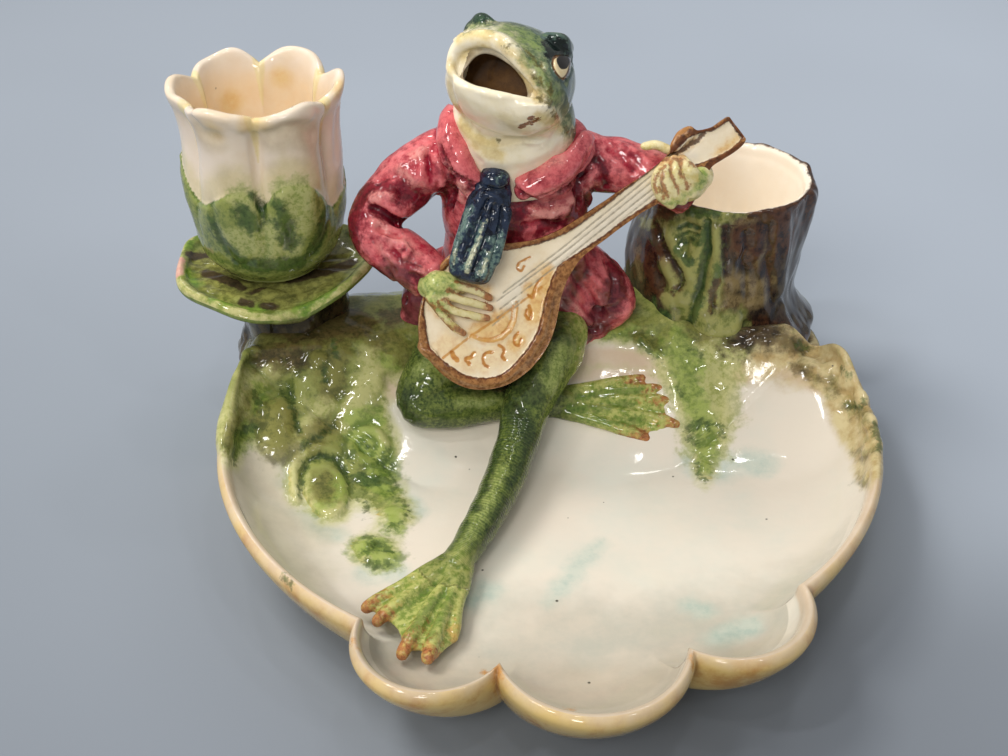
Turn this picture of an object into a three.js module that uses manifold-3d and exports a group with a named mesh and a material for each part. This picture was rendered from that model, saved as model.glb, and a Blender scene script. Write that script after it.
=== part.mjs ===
// A figural ashtray of glazed earthenware: a frog in a coat sits on a mossy bank behind a scalloped dish
// and plays a mandolin, between a flower-shaped cup on a lily pad and a cup in the form of a tree stump.
//
// The whole thing is one casting. Millimetres, +Z up, the frog looks towards -Y, and the origin is on the
// flat underside, on the line through the middle of the front lobe.

import * as THREE from 'three';
import { mergeVertices } from 'three/addons/utils/BufferGeometryUtils.js';
import Module from 'manifold-3d';

const wasm = await Module();
wasm.setup();

const DEG = Math.PI / 180;

// Dish
const CENTRE = { x: 0, y: -14 };    // the middle that the rings of the dish close in on
const LIP_TOP = 32.2;                // height of the lip above the table
const FLOOR = 9.6;                   // height of the basin's flat floor
const BASIN_BACK = 64;               // where the basin ends and the bank begins, behind the middle
const BASIN_BACK_CURVE = 0.0006;     // how that line comes forward to the sides
const STEEPEST_SINE = 0.55;          // the back wall's slope is measured square to it down to this direction
const BANK_FROM = 8;                 // the lip starts to widen into the bank here
const BANK_TO = 62;                  // and is all bank from here back
const BANK_LEAST = 6;                // the least width of the bank
const CALM_REACH = 8;                // how many outline points on each side the lobes are smoothed over

// The lobes of the dish's outline, anticlockwise from the front one: where each starts, how far it bulges
// beyond its chord, and how many steps draw it.
const LOBES = [
  { x: -29, y: -94.3, bulge: 22, steps: 9 },
  { x: 29, y: -94.3, bulge: 15.5, steps: 8 },
  { x: 70, y: -71, bulge: 23, steps: 12 },
  { x: 112, y: 62, bulge: 33, steps: 9 },
  { x: 52, y: 122, bulge: 7, steps: 6 },
  { x: -60, y: 114, bulge: 25, steps: 8 },
  { x: -108.5, y: 62, bulge: 19.5, steps: 12 },
  { x: -70, y: -71, bulge: 19, steps: 8 },
];

// Rings of the dish from the underside, over the lip, down to the floor. In front a ring lies `inset` inside
// the outline; behind it lies `across` of the bank's width plus `in` inside it. `calm` smooths the lobes out.
const DISH_RINGS = [
  { inset: 27, z: 0, calm: 0.6, across: 0, in: 6, bankZ: 0 },
  { inset: 18, z: 5, calm: 0.45, across: 0, in: 2, bankZ: 6 },
  { inset: 6, z: 13, calm: 0.25, across: 0, in: 1, bankZ: 15 },
  { inset: -1, z: 22, calm: 0.1, across: 0, in: 2.5, bankZ: 25 },
  { inset: -0.4, z: 29, calm: 0, across: 0.14, in: 1, bankZ: 35 },
  { inset: 2, z: LIP_TOP, calm: 0, across: 0.42, in: 0, bankZ: 44 },
  { inset: 4.4, z: 30.8, calm: 0, across: 0.82, in: 0, bankZ: 45 },
  { inset: 7, z: 25, calm: 0.15, across: 1, in: 0, bankZ: 38 },
  { inset: 14, z: 17, calm: 0.4, across: 1, in: 9, bankZ: 30 },
  { inset: 25, z: 12, calm: 0.7, across: 1, in: 22, bankZ: 20.5 },
  { inset: 42, z: FLOOR, calm: 1, across: 1, in: 46, bankZ: FLOOR },
];

// Flower cup, standing on the lily pad
const FLOWER = { x: -94.3, y: 85.5 };
const FLOWER_FOOT = 67;
const FLOWER_RIM = 135;
const PETALS = 6;
const PETAL_RISE = 3.2;              // a petal's tip above and the dip between two petals below the rim
const PETAL_SPREAD = 2.8;            // how far a tip stands out and a dip draws in
const PETAL_BLUNTNESS = 0.6;         // under 1, the petals are broad and the dips between them narrow
const FLOWER_SIDES = 30;
const FLOWER_OUTSIDE = [[67, 13], [71, 20.5], [80, 25.5], [93, 28.3], [108, 28.6], [122, 27.3], [135, 28.2]];
const FLOWER_INSIDE = [[134, 24.6], [122, 23.6], [100, 23.6], [84, 20.8], [78, 15]];
const FLOWER_FLOOR = 76.5;
const FLOWER_FLOOR_RADIUS = 11;

// Lily pad under the flower cup
const PAD = { x: -94.5, y: 84, reachX: 36.5, reachY: 33, thickness: 4.6 };
const PAD_TOP = 67.5;
const PAD_SIDES = 28;

// Post of rock and moss that carries the pad
const POST = { x: -91, y: 86 };
const POST_SECTIONS = [[30, 22, 25], [40, 20.5, 20], [52, 20, 17.5], [60, 21, 18], [65, 24, 20]];
const POST_SIDES = 16;

// Tree stump cup
const STUMP = { x: 79.5, y: 92 };
const STUMP_RIM = 89;
const STUMP_SIDES = 32;
const STUMP_OUTSIDE = [[20, 38], [32, 36], [42, 34.2], [56, 34.4], [68, 34], [82, 32.8], [89, 31.4]];
const STUMP_INSIDE = [[88.6, 27.2], [82, 25.8], [60, 24.6], [48, 22]];
const STUMP_LEAN = 4;                // how far the foot of the stump lies to the left of its rim
const STUMP_DEPTH = 0.93;            // front-to-back size as a share of the width
const STUMP_FLOOR = 46;
const STUMP_FLOOR_RADIUS = 17;
const BARK = 0.035;                  // depth of the bark's ridges as a share of the radius
const RIM_BREAKS = 1.1;              // how far the rim's breaks rise and fall

// Low carving in the basin: where each dome sits, its half sizes and how it is turned
const RELIEFS = [
  { x: -65, y: 35, z: 16.5, across: 9, along: 8.5, high: 4.5, turn: 0 },
  { x: -80, y: 13, z: 15.5, across: 8, along: 12, high: 5, turn: 30 },
  { x: -72, y: 26, z: 15, across: 6, along: 8, high: 4, turn: 20 },
  { x: -60.5, y: 18, z: 10.8, across: 5, along: 5, high: 3, turn: 0 },
  { x: -53.5, y: 3, z: 9.8, across: 5, along: 5.5, high: 2.8, turn: 0 },
  { x: -62, y: -18, z: 10, across: 8, along: 7, high: 3, turn: 0 },
  { x: 60, y: 22, z: 11.5, across: 6, along: 10, high: 3.5, turn: -8 },
];

// Frog. Limbs are lists of points on their middle line, each with its radius: x, y, z, r.
const LIMB_SIDES = 9;
const TORSO = [
  { x: -3, y: 77, z: 38, rx: 35, ry: 24 },
  { x: -3, y: 76.5, z: 47, rx: 34, ry: 23.5 },
  { x: -4.5, y: 75.5, z: 60, rx: 29.5, ry: 20 },
  { x: -5, y: 73, z: 76, rx: 27, ry: 18 },
  { x: -5.5, y: 72, z: 92, rx: 27, ry: 17.5 },
  { x: -6, y: 73, z: 107, rx: 28, ry: 16.5 },
  { x: -6.5, y: 72, z: 116, rx: 23, ry: 16.5 },
  { x: -7, y: 69, z: 124, rx: 21, ry: 17.5 },
  { x: -7, y: 67, z: 133, rx: 21, ry: 17 },
];
const TORSO_SIDES = 18;
const SHOULDERS = [[-30, 76, 108.5, 11.5], [-18, 78, 110, 13.5], [-6, 79, 110, 14], [8, 78.5, 107.5, 13.5],
  [20, 77, 105.5, 11.5]];
const RIGHT_ARM = [[-20, 75, 112, 11.5], [-33, 74.5, 109.5, 11.3], [-45, 71.5, 103.5, 10.6],
  [-55.5, 66, 94, 9.8], [-54.5, 61, 87.5, 9.4], [-46.5, 56, 82.5, 9.4], [-38, 50, 77, 8.6]];
const LEFT_ARM = [[10, 76, 107, 11], [22, 76, 105.5, 10.5], [36, 74, 103.8, 9.6], [47, 70.5, 101, 9],
  [57, 68, 95.5, 8.2]];
const RIGHT_LEG = [[-24, 62, 47, 13], [-38, 49, 38.5, 12], [-46, 39.5, 29.5, 10.8], [-36, 38, 27, 9],
  [-18, 40, 25.5, 8], [0, 42.5, 23.5, 6.5], [9, 43.5, 22.5, 5.5]];
const LEFT_LEG = [[15, 64, 47, 14], [9, 54, 43, 13], [1, 43, 38, 10.5], [-5, 32, 33, 8], [-12, 14, 25, 6.4],
  [-21, -6, 20.5, 6], [-31, -24, 18, 5.4], [-37.5, -34, 17, 5]];

// Feet: the middle of the ankle, the tip of each toe, and the toes' thickness
const RIGHT_FOOT = {
  ankle: [8, 43.5, 22.5],
  toes: [[40.5, 49.5, 28], [47, 45, 25], [49, 40, 22], [49, 33.5, 17.5], [36.7, 29.6, 15.5]],
};
const LEFT_FOOT = {
  ankle: [-37, -34, 16],
  toes: [[-66, -50, 17], [-62.9, -57, 17.5], [-56, -71.5, 17.5], [-48.2, -73, 16.5], [-40, -63, 14]],
};
const TOE_RADIUS = 2.2;

// Head, in its own frame: x to the frog's left, -y to the snout, z up. It is then tipped back, turned and
// leant over, and set in its place.
const HEAD = { x: -7.5, y: 63, z: 145.5, turn: 14, tip: 30, lean: 17 };
const HEAD_SECTIONS = [
  { y: 18, z: -2, rx: 10, up: 9, down: 9 },
  { y: 13, z: -2, rx: 17.5, up: 17.5, down: 15 },
  { y: 4, z: -2, rx: 21.5, up: 20.5, down: 17.5 },
  { y: -6, z: -2.5, rx: 21.5, up: 19, down: 17 },
  { y: -14, z: -2.5, rx: 19.5, up: 14, down: 14 },
  { y: -19.5, z: -2.5, rx: 17.5, up: 10.5, down: 11 },
  { y: -22, z: -2.5, rx: 14.5, up: 8, down: 8.5 },
];
const HEAD_SIDES = 18;
const MOUTH = { y: -22, z: -2.5, rx: 12.5, ry: 15, rz: 6.2 };
const EYE = { x: 14.8, y: 0, z: 11.5, radius: 6.2 };

// Hands
const DIGIT_SIDES = 6;
const STRUMMING_HAND = { palm: [[-37, 48, 77, 6], [-31, 42.5, 73.5, 6.4], [-27, 39, 71, 4.5]], radius: 2.3 };
const STRUMMING_FINGERS = [
  [[-30, 40, 76], [-23, 37, 74], [-18, 36, 71]],
  [[-31, 39, 72.5], [-23, 35.5, 70], [-18, 34.5, 67.5]],
  [[-32, 38.5, 69], [-25, 34, 66], [-20, 33, 63.5]],
  [[-34, 39, 66.5], [-29, 34, 63], [-25, 32, 60.5]],
];
const FRETTING_PALM = [[57, 68, 95, 6.5], [57, 67, 101, 6.5], [55, 67, 106, 5.5]];
const FRETTING_FINGERS = 4;
const FRETTING_FROM = [45.5, 59, 105.5];
const FRETTING_TO = [54.5, 62, 110.5];
const FRETTING_DROP = [6.5, -1, -10.5];   // from where a finger starts to where its tip ends
const FRETTING_RADIUS = 2.5;

// Mandolin: its tail, the end of its head, and which way its face looks
const MANDOLIN_TAIL = [-41, 33, 56];
const MANDOLIN_HEAD = [73, 68, 120.5];
const MANDOLIN_FACE = [-0.03, -0.89, 0.45];
const BODY_LENGTH = 56;
const BODY_WIDTH = 46;
const BODY_DEPTH = 8.5;
const NECK_WIDTH_LOW = 12;
const NECK_WIDTH_HIGH = 10.5;
const NECK_LENGTH = 112;
const PEG_HEAD_WIDTH = 11.5;
const PEG_HEAD_LENGTH = 25;
const EDGE_ROUND = 1.2;              // how far the rounding of the face's edge runs in
const EDGE_ROUND_DEPTH = 1.9;        // and how far back

// Collar, tie and coat tails
const COLLAR = [[-20, 54, 106, 3.6], [-26, 57, 116, 4.2], [-28, 65, 126, 3.8], [-21, 79, 128, 3.4],
  [-6, 86, 126, 3.4], [9, 80, 122, 3.4], [15.5, 68, 118, 4], [7, 57, 109, 4.2], [-6, 54.5, 103, 3.6]];
const TIE = [[-13.5, 54, 112, 4.4], [-15.5, 50, 104, 5.6], [-19.5, 45, 94, 6.6], [-24, 40, 84, 6.6],
  [-25, 38.5, 80.5, 5.4]];
const TIE_FLATNESS = 0.55;
const RIGHT_TAIL = [[-30, 78, 62, 10], [-38, 77, 52, 10], [-42, 76, 44, 7]];
const LEFT_TAIL = [[18, 76, 66, 10], [27, 73, 56, 11.5], [30, 71, 49, 11], [25, 68, 41.5, 6.5]];

const vector = (p) => new THREE.Vector3(p[0], p[1], p[2]);
const mix = (a, b, t) => a + (b - a) * t;
const smoothstep = (a, b, x) => THREE.MathUtils.smoothstep(x, a, b);

// A closed body from rings of points: every ring has as many points as the next, and both ends are closed
// with a fan to their middle.
function loft(rings) {
  const sides = rings[0].length;
  const middle = (ring) => ring.reduce((sum, p) => sum.add(p), new THREE.Vector3()).divideScalar(sides);
  const points = [...rings.flat(), middle(rings[0]), middle(rings.at(-1))];
  const first = points.length - 2;
  const last = points.length - 1;
  const faces = [];
  for (let i = 0; i < sides; i += 1) {
    const j = (i + 1) % sides;
    faces.push(first, j, i);
    for (let k = 0; k + 1 < rings.length; k += 1) {
      const low = k * sides;
      const high = low + sides;
      faces.push(low + i, low + j, high + j, low + i, high + j, high + i);
    }
    const top = (rings.length - 1) * sides;
    faces.push(top + i, top + j, last);
  }
  const geometry = new THREE.BufferGeometry();
  geometry.setAttribute('position', new THREE.Float32BufferAttribute(points.flatMap((p) => p.toArray()), 3));
  geometry.setIndex(faces);
  return geometry;
}

// A closed geometry as a solid that can be joined and cut. A body that was drawn inside out is turned.
function solid(geometry) {
  const bare = geometry.clone();
  bare.deleteAttribute('normal');
  bare.deleteAttribute('uv');
  const merged = mergeVertices(bare, 1e-4);
  const points = new Float32Array(merged.attributes.position.array);
  const faces = new Uint32Array(merged.index.array);
  const corner = (i) => new THREE.Vector3().fromArray(points, 3 * faces[i]);
  let volume = 0;
  for (let i = 0; i < faces.length; i += 3) {
    volume += corner(i).dot(corner(i + 1).cross(corner(i + 2)));
  }
  if (volume < 0) {
    faces.reverse();
  }
  return new wasm.Manifold(new wasm.Mesh({ numProp: 3, vertProperties: points, triVerts: faces }));
}

// A ring of points round an upright axis, its radius and height as functions of the angle
function ringAbout(middle, sides, radius, height) {
  return Array.from({ length: sides }, (_, i) => {
    const angle = (i / sides) * 2 * Math.PI;
    const r = radius(angle);
    return new THREE.Vector3(middle.x + r * Math.cos(angle), middle.y + r * Math.sin(angle), height(angle));
  });
}

// An upright oval body from sections of height and two radii
function ovalColumn(sections, sides) {
  return loft(sections.map((s) => Array.from({ length: sides }, (_, i) => {
    const angle = (i / sides) * 2 * Math.PI;
    return new THREE.Vector3(s.x + s.rx * Math.cos(angle), s.y + s.ry * Math.sin(angle), s.z);
  })));
}

// A limb: a tube of changing radius along a smooth line, with rounded ends
function limb(points, sides = LIMB_SIDES, stepsPerSpan = 2, flatness = 1) {
  const curve = new THREE.CatmullRomCurve3(points.map(vector), false, 'centripetal');
  const spans = points.length - 1;
  const steps = spans * stepsPerSpan;
  const rings = [];
  let side = new THREE.Vector3(1, 0, 0);
  const ringAt = (centre, along, radius) => {
    side = side.clone().addScaledVector(along, -side.dot(along)).normalize();
    const out = new THREE.Vector3().crossVectors(along, side);
    return Array.from({ length: sides }, (_, i) => {
      const angle = (i / sides) * 2 * Math.PI;
      return centre.clone()
        .addScaledVector(side, radius * Math.cos(angle))
        .addScaledVector(out, radius * flatness * Math.sin(angle));
    });
  };
  for (let k = 0; k <= steps; k += 1) {
    const t = k / steps;
    const span = Math.min(Math.floor(t * spans), spans - 1);
    const radius = mix(points[span][3], points[span + 1][3], t * spans - span);
    const centre = curve.getPoint(t);
    const along = curve.getTangent(t);
    if (k === 0) {
      rings.push(ringAt(centre.clone().addScaledVector(along, -radius * 0.7), along, radius * 0.6));
    }
    rings.push(ringAt(centre, along, radius));
    if (k === steps) {
      rings.push(ringAt(centre.clone().addScaledVector(along, radius * 0.7), along, radius * 0.6));
    }
  }
  return loft(rings);
}

// The dish's outline: arcs through the notches between the lobes
function outline() {
  return LOBES.flatMap((lobe, k) => {
    const next = LOBES[(k + 1) % LOBES.length];
    const dx = next.x - lobe.x;
    const dy = next.y - lobe.y;
    const chord = Math.hypot(dx, dy);
    const along = { x: dx / chord, y: dy / chord };
    const out = { x: along.y, y: -along.x };
    const half = chord / 2;
    const radius = (half ** 2 + lobe.bulge ** 2) / (2 * lobe.bulge);
    const span = Math.atan2(half, radius - lobe.bulge);
    return Array.from({ length: lobe.steps }, (_, i) => {
      const angle = span * ((2 * i) / lobe.steps - 1);
      const up = radius * Math.cos(angle) - (radius - lobe.bulge);
      const over = radius * Math.sin(angle);
      return {
        x: (lobe.x + next.x) / 2 + out.x * up + along.x * over,
        y: (lobe.y + next.y) / 2 + out.y * up + along.y * over,
      };
    });
  });
}

// How wide the bank is behind an outline point: from the outline to the basin's back edge
function bankWidth(radius, sine, cosine) {
  if (sine <= 0) {
    return 0;
  }
  const across = radius * cosine;
  const back = (BASIN_BACK - BASIN_BACK_CURVE * across ** 2 - CENTRE.y) / sine;
  return Math.max(0, radius - back);
}

// Dish and bank in one body of rings
function dish() {
  const points = outline();
  const radii = points.map((p) => Math.hypot(p.x - CENTRE.x, p.y - CENTRE.y));
  const calmRadii = radii.map((_, i) => {
    let sum = 0;
    for (let k = -CALM_REACH; k <= CALM_REACH; k += 1) {
      sum += radii[(i + k + radii.length) % radii.length];
    }
    return sum / (2 * CALM_REACH + 1);
  });
  const rings = DISH_RINGS.map((ring) => points.map((p, i) => {
    const cosine = (p.x - CENTRE.x) / radii[i];
    const sine = (p.y - CENTRE.y) / radii[i];
    const bank = smoothstep(BANK_FROM, BANK_TO, p.y);
    const front = mix(radii[i], calmRadii[i], ring.calm) - ring.inset;
    const width = Math.max(bankWidth(radii[i], sine, cosine), BANK_LEAST);
    const rear = radii[i] - ring.across * width - ring.in / Math.max(sine, STEEPEST_SINE);
    const r = mix(front, rear, bank);
    return new THREE.Vector3(CENTRE.x + r * cosine, CENTRE.y + r * sine, mix(ring.z, ring.bankZ, bank));
  }));
  return loft(rings);
}

// The flower cup: six petals round its rim, soft grooves between them, hollow to its floor
function flowerCup() {
  const wave = (angle) => Math.abs(Math.cos((PETALS / 2) * angle)) ** PETAL_BLUNTNESS * 2 - 1;
  const ring = ([z, r]) => {
    const share = smoothstep(FLOWER_FOOT + 12, FLOWER_RIM, z);
    return ringAbout(
      FLOWER,
      FLOWER_SIDES,
      (a) => r + PETAL_SPREAD * share * wave(a),
      (a) => z + PETAL_RISE * wave(a) * share ** 6,
    );
  };
  const floor = ringAbout(FLOWER, FLOWER_SIDES, () => FLOWER_FLOOR_RADIUS, () => FLOWER_FLOOR);
  return loft([...FLOWER_OUTSIDE.map(ring), ...FLOWER_INSIDE.map(ring), floor]);
}

// The lily pad: a wavy saucer, its edge lifted at the sides and low in front
function pad() {
  const edge = (a) => 1 + 0.03 * Math.cos(3 * a + 0.6) + 0.02 * Math.cos(7 * a);
  const lift = (a) => 1.5 + 2.2 * Math.cos(2 * a) + 1.6 * Math.sin(a) - 1.1 * Math.cos(5 * a + 1);
  const ring = (share, drop) => Array.from({ length: PAD_SIDES }, (_, i) => {
    const a = (i / PAD_SIDES) * 2 * Math.PI;
    return new THREE.Vector3(
      PAD.x + PAD.reachX * share * edge(a) * Math.cos(a),
      PAD.y + PAD.reachY * share * edge(a) * Math.sin(a),
      PAD_TOP - drop + lift(a) * share ** 3,
    );
  });
  const t = PAD.thickness;
  return loft([ring(0.55, t + 2), ring(0.93, t - 0.5), ring(1, 2), ring(0.97, 0), ring(0.6, 1.2)]);
}

// The post under the pad
function post() {
  return loft(POST_SECTIONS.map(([z, rx, ry]) => Array.from({ length: POST_SIDES }, (_, i) => {
    const a = (i / POST_SIDES) * 2 * Math.PI;
    const rough = 1 + 0.05 * Math.sin(3 * a + z / 6);
    return new THREE.Vector3(POST.x + rx * rough * Math.cos(a), POST.y + ry * rough * Math.sin(a), z);
  })));
}

// The stump: ridged bark, a broken rim and a round hollow
function stump() {
  const ridge = (a, z) => (
    0.6 * Math.sin(8 * a + z / 19) + 0.4 * Math.sin(5 * a - z / 23) + 0.3 * Math.sin(3 * a)
  );
  const outside = STUMP_OUTSIDE.map(([z, r]) => ringAbout(
    { x: STUMP.x - STUMP_LEAN * (1 - smoothstep(56, STUMP_RIM, z)), y: STUMP.y },
    STUMP_SIDES,
    (a) => r * (1 + BARK * ridge(a, z)) * mix(1, STUMP_DEPTH, Math.sin(a) ** 2),
    (a) => (z === STUMP_RIM ? z + RIM_BREAKS * Math.sin(4 * a) : z),
  ));
  const inside = STUMP_INSIDE.map(([z, r]) => ringAbout(STUMP, STUMP_SIDES, () => r, () => z));
  const floor = ringAbout(STUMP, STUMP_SIDES, () => STUMP_FLOOR_RADIUS, () => STUMP_FLOOR);
  return loft([...outside, ...inside, floor]);
}

// A webbed foot: toes that fan out from the ankle with a thin web between them
function foot({ ankle, toes }) {
  const heel = vector(ankle);
  const parts = toes.map((tip) => {
    const end = vector(tip);
    const bend = heel.clone().lerp(end, 0.55);
    return solid(limb([
      [...ankle, TOE_RADIUS * 1.5],
      [bend.x, bend.y, bend.z + 0.6, TOE_RADIUS * 1.2],
      [...tip, TOE_RADIUS],
    ], DIGIT_SIDES, 1));
  });
  for (let i = 0; i + 1 < toes.length; i += 1) {
    const corners = [heel, vector(toes[i]).lerp(heel, 0.1), vector(toes[i + 1]).lerp(heel, 0.1)];
    const rings = [-1.6, 1.6].map((h) => corners.map((p) => p.clone().add(new THREE.Vector3(0, 0, h))));
    parts.push(solid(loft(rings)));
  }
  return wasm.Manifold.union(parts);
}

// The head with its open mouth and the two eyes that stand up from it
function head() {
  const rings = HEAD_SECTIONS.map((s) => Array.from({ length: HEAD_SIDES }, (_, i) => {
    const a = (i / HEAD_SIDES) * 2 * Math.PI;
    const tall = Math.sin(a) > 0 ? s.up : s.down;
    return new THREE.Vector3(s.rx * Math.cos(a), s.y, s.z + tall * Math.sin(a));
  }));
  const skull = solid(loft(rings));
  const cavity = new THREE.SphereGeometry(1, 14, 8);
  cavity.scale(MOUTH.rx, MOUTH.ry, MOUTH.rz);
  cavity.translate(0, MOUTH.y, MOUTH.z);
  const eyes = [-1, 1].map((side) => {
    const ball = new THREE.SphereGeometry(EYE.radius, 10, 6);
    ball.translate(side * EYE.x, EYE.y, EYE.z);
    return solid(ball);
  });
  const place = new THREE.Matrix4()
    .makeTranslation(HEAD.x, HEAD.y, HEAD.z)
    .multiply(new THREE.Matrix4().makeRotationZ(-HEAD.turn * DEG))
    .multiply(new THREE.Matrix4().makeRotationX(-HEAD.tip * DEG))
    .multiply(new THREE.Matrix4().makeRotationY(HEAD.lean * DEG));
  return wasm.Manifold.union([skull, ...eyes]).subtract(solid(cavity)).transform(place.elements);
}

// The mandolin: a pear-shaped body with a rounded back, a tapering neck and a flat peg head
function mandolin() {
  const shape = new THREE.Shape();
  const half = BODY_WIDTH / 2;
  const widest = BODY_LENGTH * 0.42;
  const waist = NECK_WIDTH_LOW * 0.62;
  const neckFrom = BODY_LENGTH * 1.2;
  const shoulder = NECK_LENGTH + 3;
  const end = NECK_LENGTH + PEG_HEAD_LENGTH;
  shape.moveTo(0, 0);
  shape.bezierCurveTo(0, half * 0.72, half * 0.3, half, widest, half);
  shape.bezierCurveTo(BODY_LENGTH * 0.72, half, BODY_LENGTH * 0.86, waist, neckFrom, NECK_WIDTH_LOW / 2);
  shape.lineTo(NECK_LENGTH, NECK_WIDTH_HIGH / 2);
  shape.lineTo(shoulder, PEG_HEAD_WIDTH / 2);
  shape.lineTo(end, PEG_HEAD_WIDTH / 2);
  shape.lineTo(end, -PEG_HEAD_WIDTH / 2);
  shape.lineTo(shoulder, -PEG_HEAD_WIDTH / 2);
  shape.lineTo(NECK_LENGTH, -NECK_WIDTH_HIGH / 2);
  shape.lineTo(neckFrom, -NECK_WIDTH_LOW / 2);
  shape.bezierCurveTo(BODY_LENGTH * 0.86, -waist, BODY_LENGTH * 0.72, -half, widest, -half);
  shape.bezierCurveTo(half * 0.3, -half, 0, -half * 0.72, 0, 0);
  const geometry = new THREE.ExtrudeGeometry(shape, {
    depth: BODY_DEPTH - 2 * EDGE_ROUND_DEPTH,
    curveSegments: 7,
    bevelThickness: EDGE_ROUND_DEPTH,
    bevelSize: EDGE_ROUND,
    bevelOffset: -EDGE_ROUND,
    bevelSegments: 1,
  });
  geometry.translate(0, 0, EDGE_ROUND_DEPTH - BODY_DEPTH);
  const tail = vector(MANDOLIN_TAIL);
  const along = vector(MANDOLIN_HEAD).sub(tail).normalize();
  const out = vector(MANDOLIN_FACE);
  out.addScaledVector(along, -out.dot(along)).normalize();
  const up = new THREE.Vector3().crossVectors(out, along);
  const place = new THREE.Matrix4().makeBasis(along, up, out).setPosition(tail);
  return solid(geometry.applyMatrix4(place));
}

// The hand over the strings
function strummingHand() {
  const fingers = STRUMMING_FINGERS.map((points) => solid(limb(
    points.map((p) => [...p, STRUMMING_HAND.radius]),
    DIGIT_SIDES,
    1,
  )));
  return wasm.Manifold.union([solid(limb(STRUMMING_HAND.palm, 8)), ...fingers]);
}

// The hand round the neck of the mandolin
function frettingHand() {
  const parts = [solid(limb(FRETTING_PALM, 8))];
  for (let i = 0; i < FRETTING_FINGERS; i += 1) {
    const start = vector(FRETTING_FROM).lerp(vector(FRETTING_TO), i / (FRETTING_FINGERS - 1));
    const end = start.clone().add(vector(FRETTING_DROP));
    const knuckle = start.clone().lerp(end, 0.45).add(new THREE.Vector3(-1, -4, 1.5));
    parts.push(solid(limb(
      [start, knuckle, end].map((p) => [...p.toArray(), FRETTING_RADIUS]),
      DIGIT_SIDES,
      1,
    )));
  }
  return wasm.Manifold.union(parts);
}

// The frog, its clothes and its instrument
function frog() {
  return wasm.Manifold.union([
    solid(ovalColumn(TORSO, TORSO_SIDES)),
    head(),
    solid(limb(SHOULDERS, LIMB_SIDES, 1)),
    solid(limb(RIGHT_ARM)),
    solid(limb(LEFT_ARM)),
    solid(limb(RIGHT_LEG)),
    solid(limb(LEFT_LEG)),
    foot(RIGHT_FOOT),
    foot(LEFT_FOOT),
    solid(limb(COLLAR, 6)),
    solid(limb(TIE, 8, 2, TIE_FLATNESS)),
    solid(limb(RIGHT_TAIL, 8, 1)),
    solid(limb(LEFT_TAIL, 8, 1)),
    mandolin(),
    strummingHand(),
    frettingHand(),
  ]);
}

// Low carving on the basin's left wall and the moss that runs down from the stump: flattened domes, each
// leaning with the wall it lies on
function reliefs() {
  return wasm.Manifold.union(RELIEFS.map(({ x, y, z, across, along, high, turn }) => {
    const dome = new THREE.SphereGeometry(1, 9, 5);
    dome.scale(across, along, high);
    dome.rotateZ(turn * DEG);
    dome.translate(x, y, z);
    return solid(dome);
  }));
}

function ashtray() {
  const body = wasm.Manifold.union([
    solid(dish()),
    solid(post()),
    solid(pad()),
    solid(flowerCup()),
    solid(stump()),
    reliefs(),
    frog(),
  ]);
  const mesh = body.getMesh();
  const geometry = new THREE.BufferGeometry();
  geometry.setAttribute('position', new THREE.BufferAttribute(mesh.vertProperties, 3));
  geometry.setIndex(new THREE.BufferAttribute(mesh.triVerts, 1));
  return geometry;
}

const glaze = new THREE.MeshStandardMaterial({ color: 0xd9d2bf, roughness: 0.15, metalness: 0 });
const casting = new THREE.Mesh(ashtray(), glaze);
casting.name = 'figural_ashtray';

const part = new THREE.Group();
part.add(casting);
export default part;
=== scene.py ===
"""The looks of a glazed earthenware ashtray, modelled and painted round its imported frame.

A frog in a raspberry coat sits on a mossy bank behind a scalloped dish and plays a mandolin, between a
flower cup on a lily pad and a cup in the form of a tree stump. Shapes are worked out in millimetres and
written to the meshes in metres. The frog looks towards -Y, and its left is +X.
"""

import logging
import math
from collections.abc import Callable, Sequence
from dataclasses import dataclass, field
from enum import Enum
from functools import cached_property

import bpy
import numpy as np
from mathutils import Matrix, Vector
from mathutils.bvhtree import BVHTree


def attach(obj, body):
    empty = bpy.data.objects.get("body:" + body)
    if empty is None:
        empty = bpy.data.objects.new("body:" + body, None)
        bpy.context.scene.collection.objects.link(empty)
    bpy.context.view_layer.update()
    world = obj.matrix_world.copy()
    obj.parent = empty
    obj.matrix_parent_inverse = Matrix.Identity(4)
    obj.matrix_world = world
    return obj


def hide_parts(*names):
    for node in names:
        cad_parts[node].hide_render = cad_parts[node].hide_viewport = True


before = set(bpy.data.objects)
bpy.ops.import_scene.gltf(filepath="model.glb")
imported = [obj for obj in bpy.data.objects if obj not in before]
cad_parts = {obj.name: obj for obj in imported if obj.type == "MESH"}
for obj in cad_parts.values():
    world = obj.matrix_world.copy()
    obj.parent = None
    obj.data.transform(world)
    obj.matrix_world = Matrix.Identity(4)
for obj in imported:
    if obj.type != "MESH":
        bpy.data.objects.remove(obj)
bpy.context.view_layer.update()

LOG = logging.getLogger("ashtray")
MM = 0.001
NODE = "figural_ashtray"
BODY = "root"
# How deep a crease is that counts as wholly hollow, in millimetres
HOLLOW_DEPTH = 0.5
GLAZE_IOR = 1.52
# How much rougher bare clay is than glaze, and how far the coats' patterns lie from each other
BARE_ROUGHNESS = 0.6
SEED_STEP = 0.37

Points = np.ndarray
Line = Sequence[Sequence[float]]
Rows = tuple[tuple[float, ...], ...]


# Tables written as text


def numbers(text: str) -> Rows:
    """Returns the rows of a table: blanks part its rows and commas the numbers of a row."""
    return tuple(tuple(map(float, row.split(","))) for row in text.split())


def lines(text: str) -> tuple[Rows, ...]:
    """Returns several tables that semicolons part."""
    return tuple(numbers(part) for part in text.split(";"))


# Arithmetic on points


def smooth_step(low: float, high: float, value: np.ndarray) -> np.ndarray:
    """Returns 0 below low, 1 above high and a smooth rise between them."""
    share = np.clip((value - low) / (high - low), 0.0, 1.0)
    return share * share * (3.0 - 2.0 * share)


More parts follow.
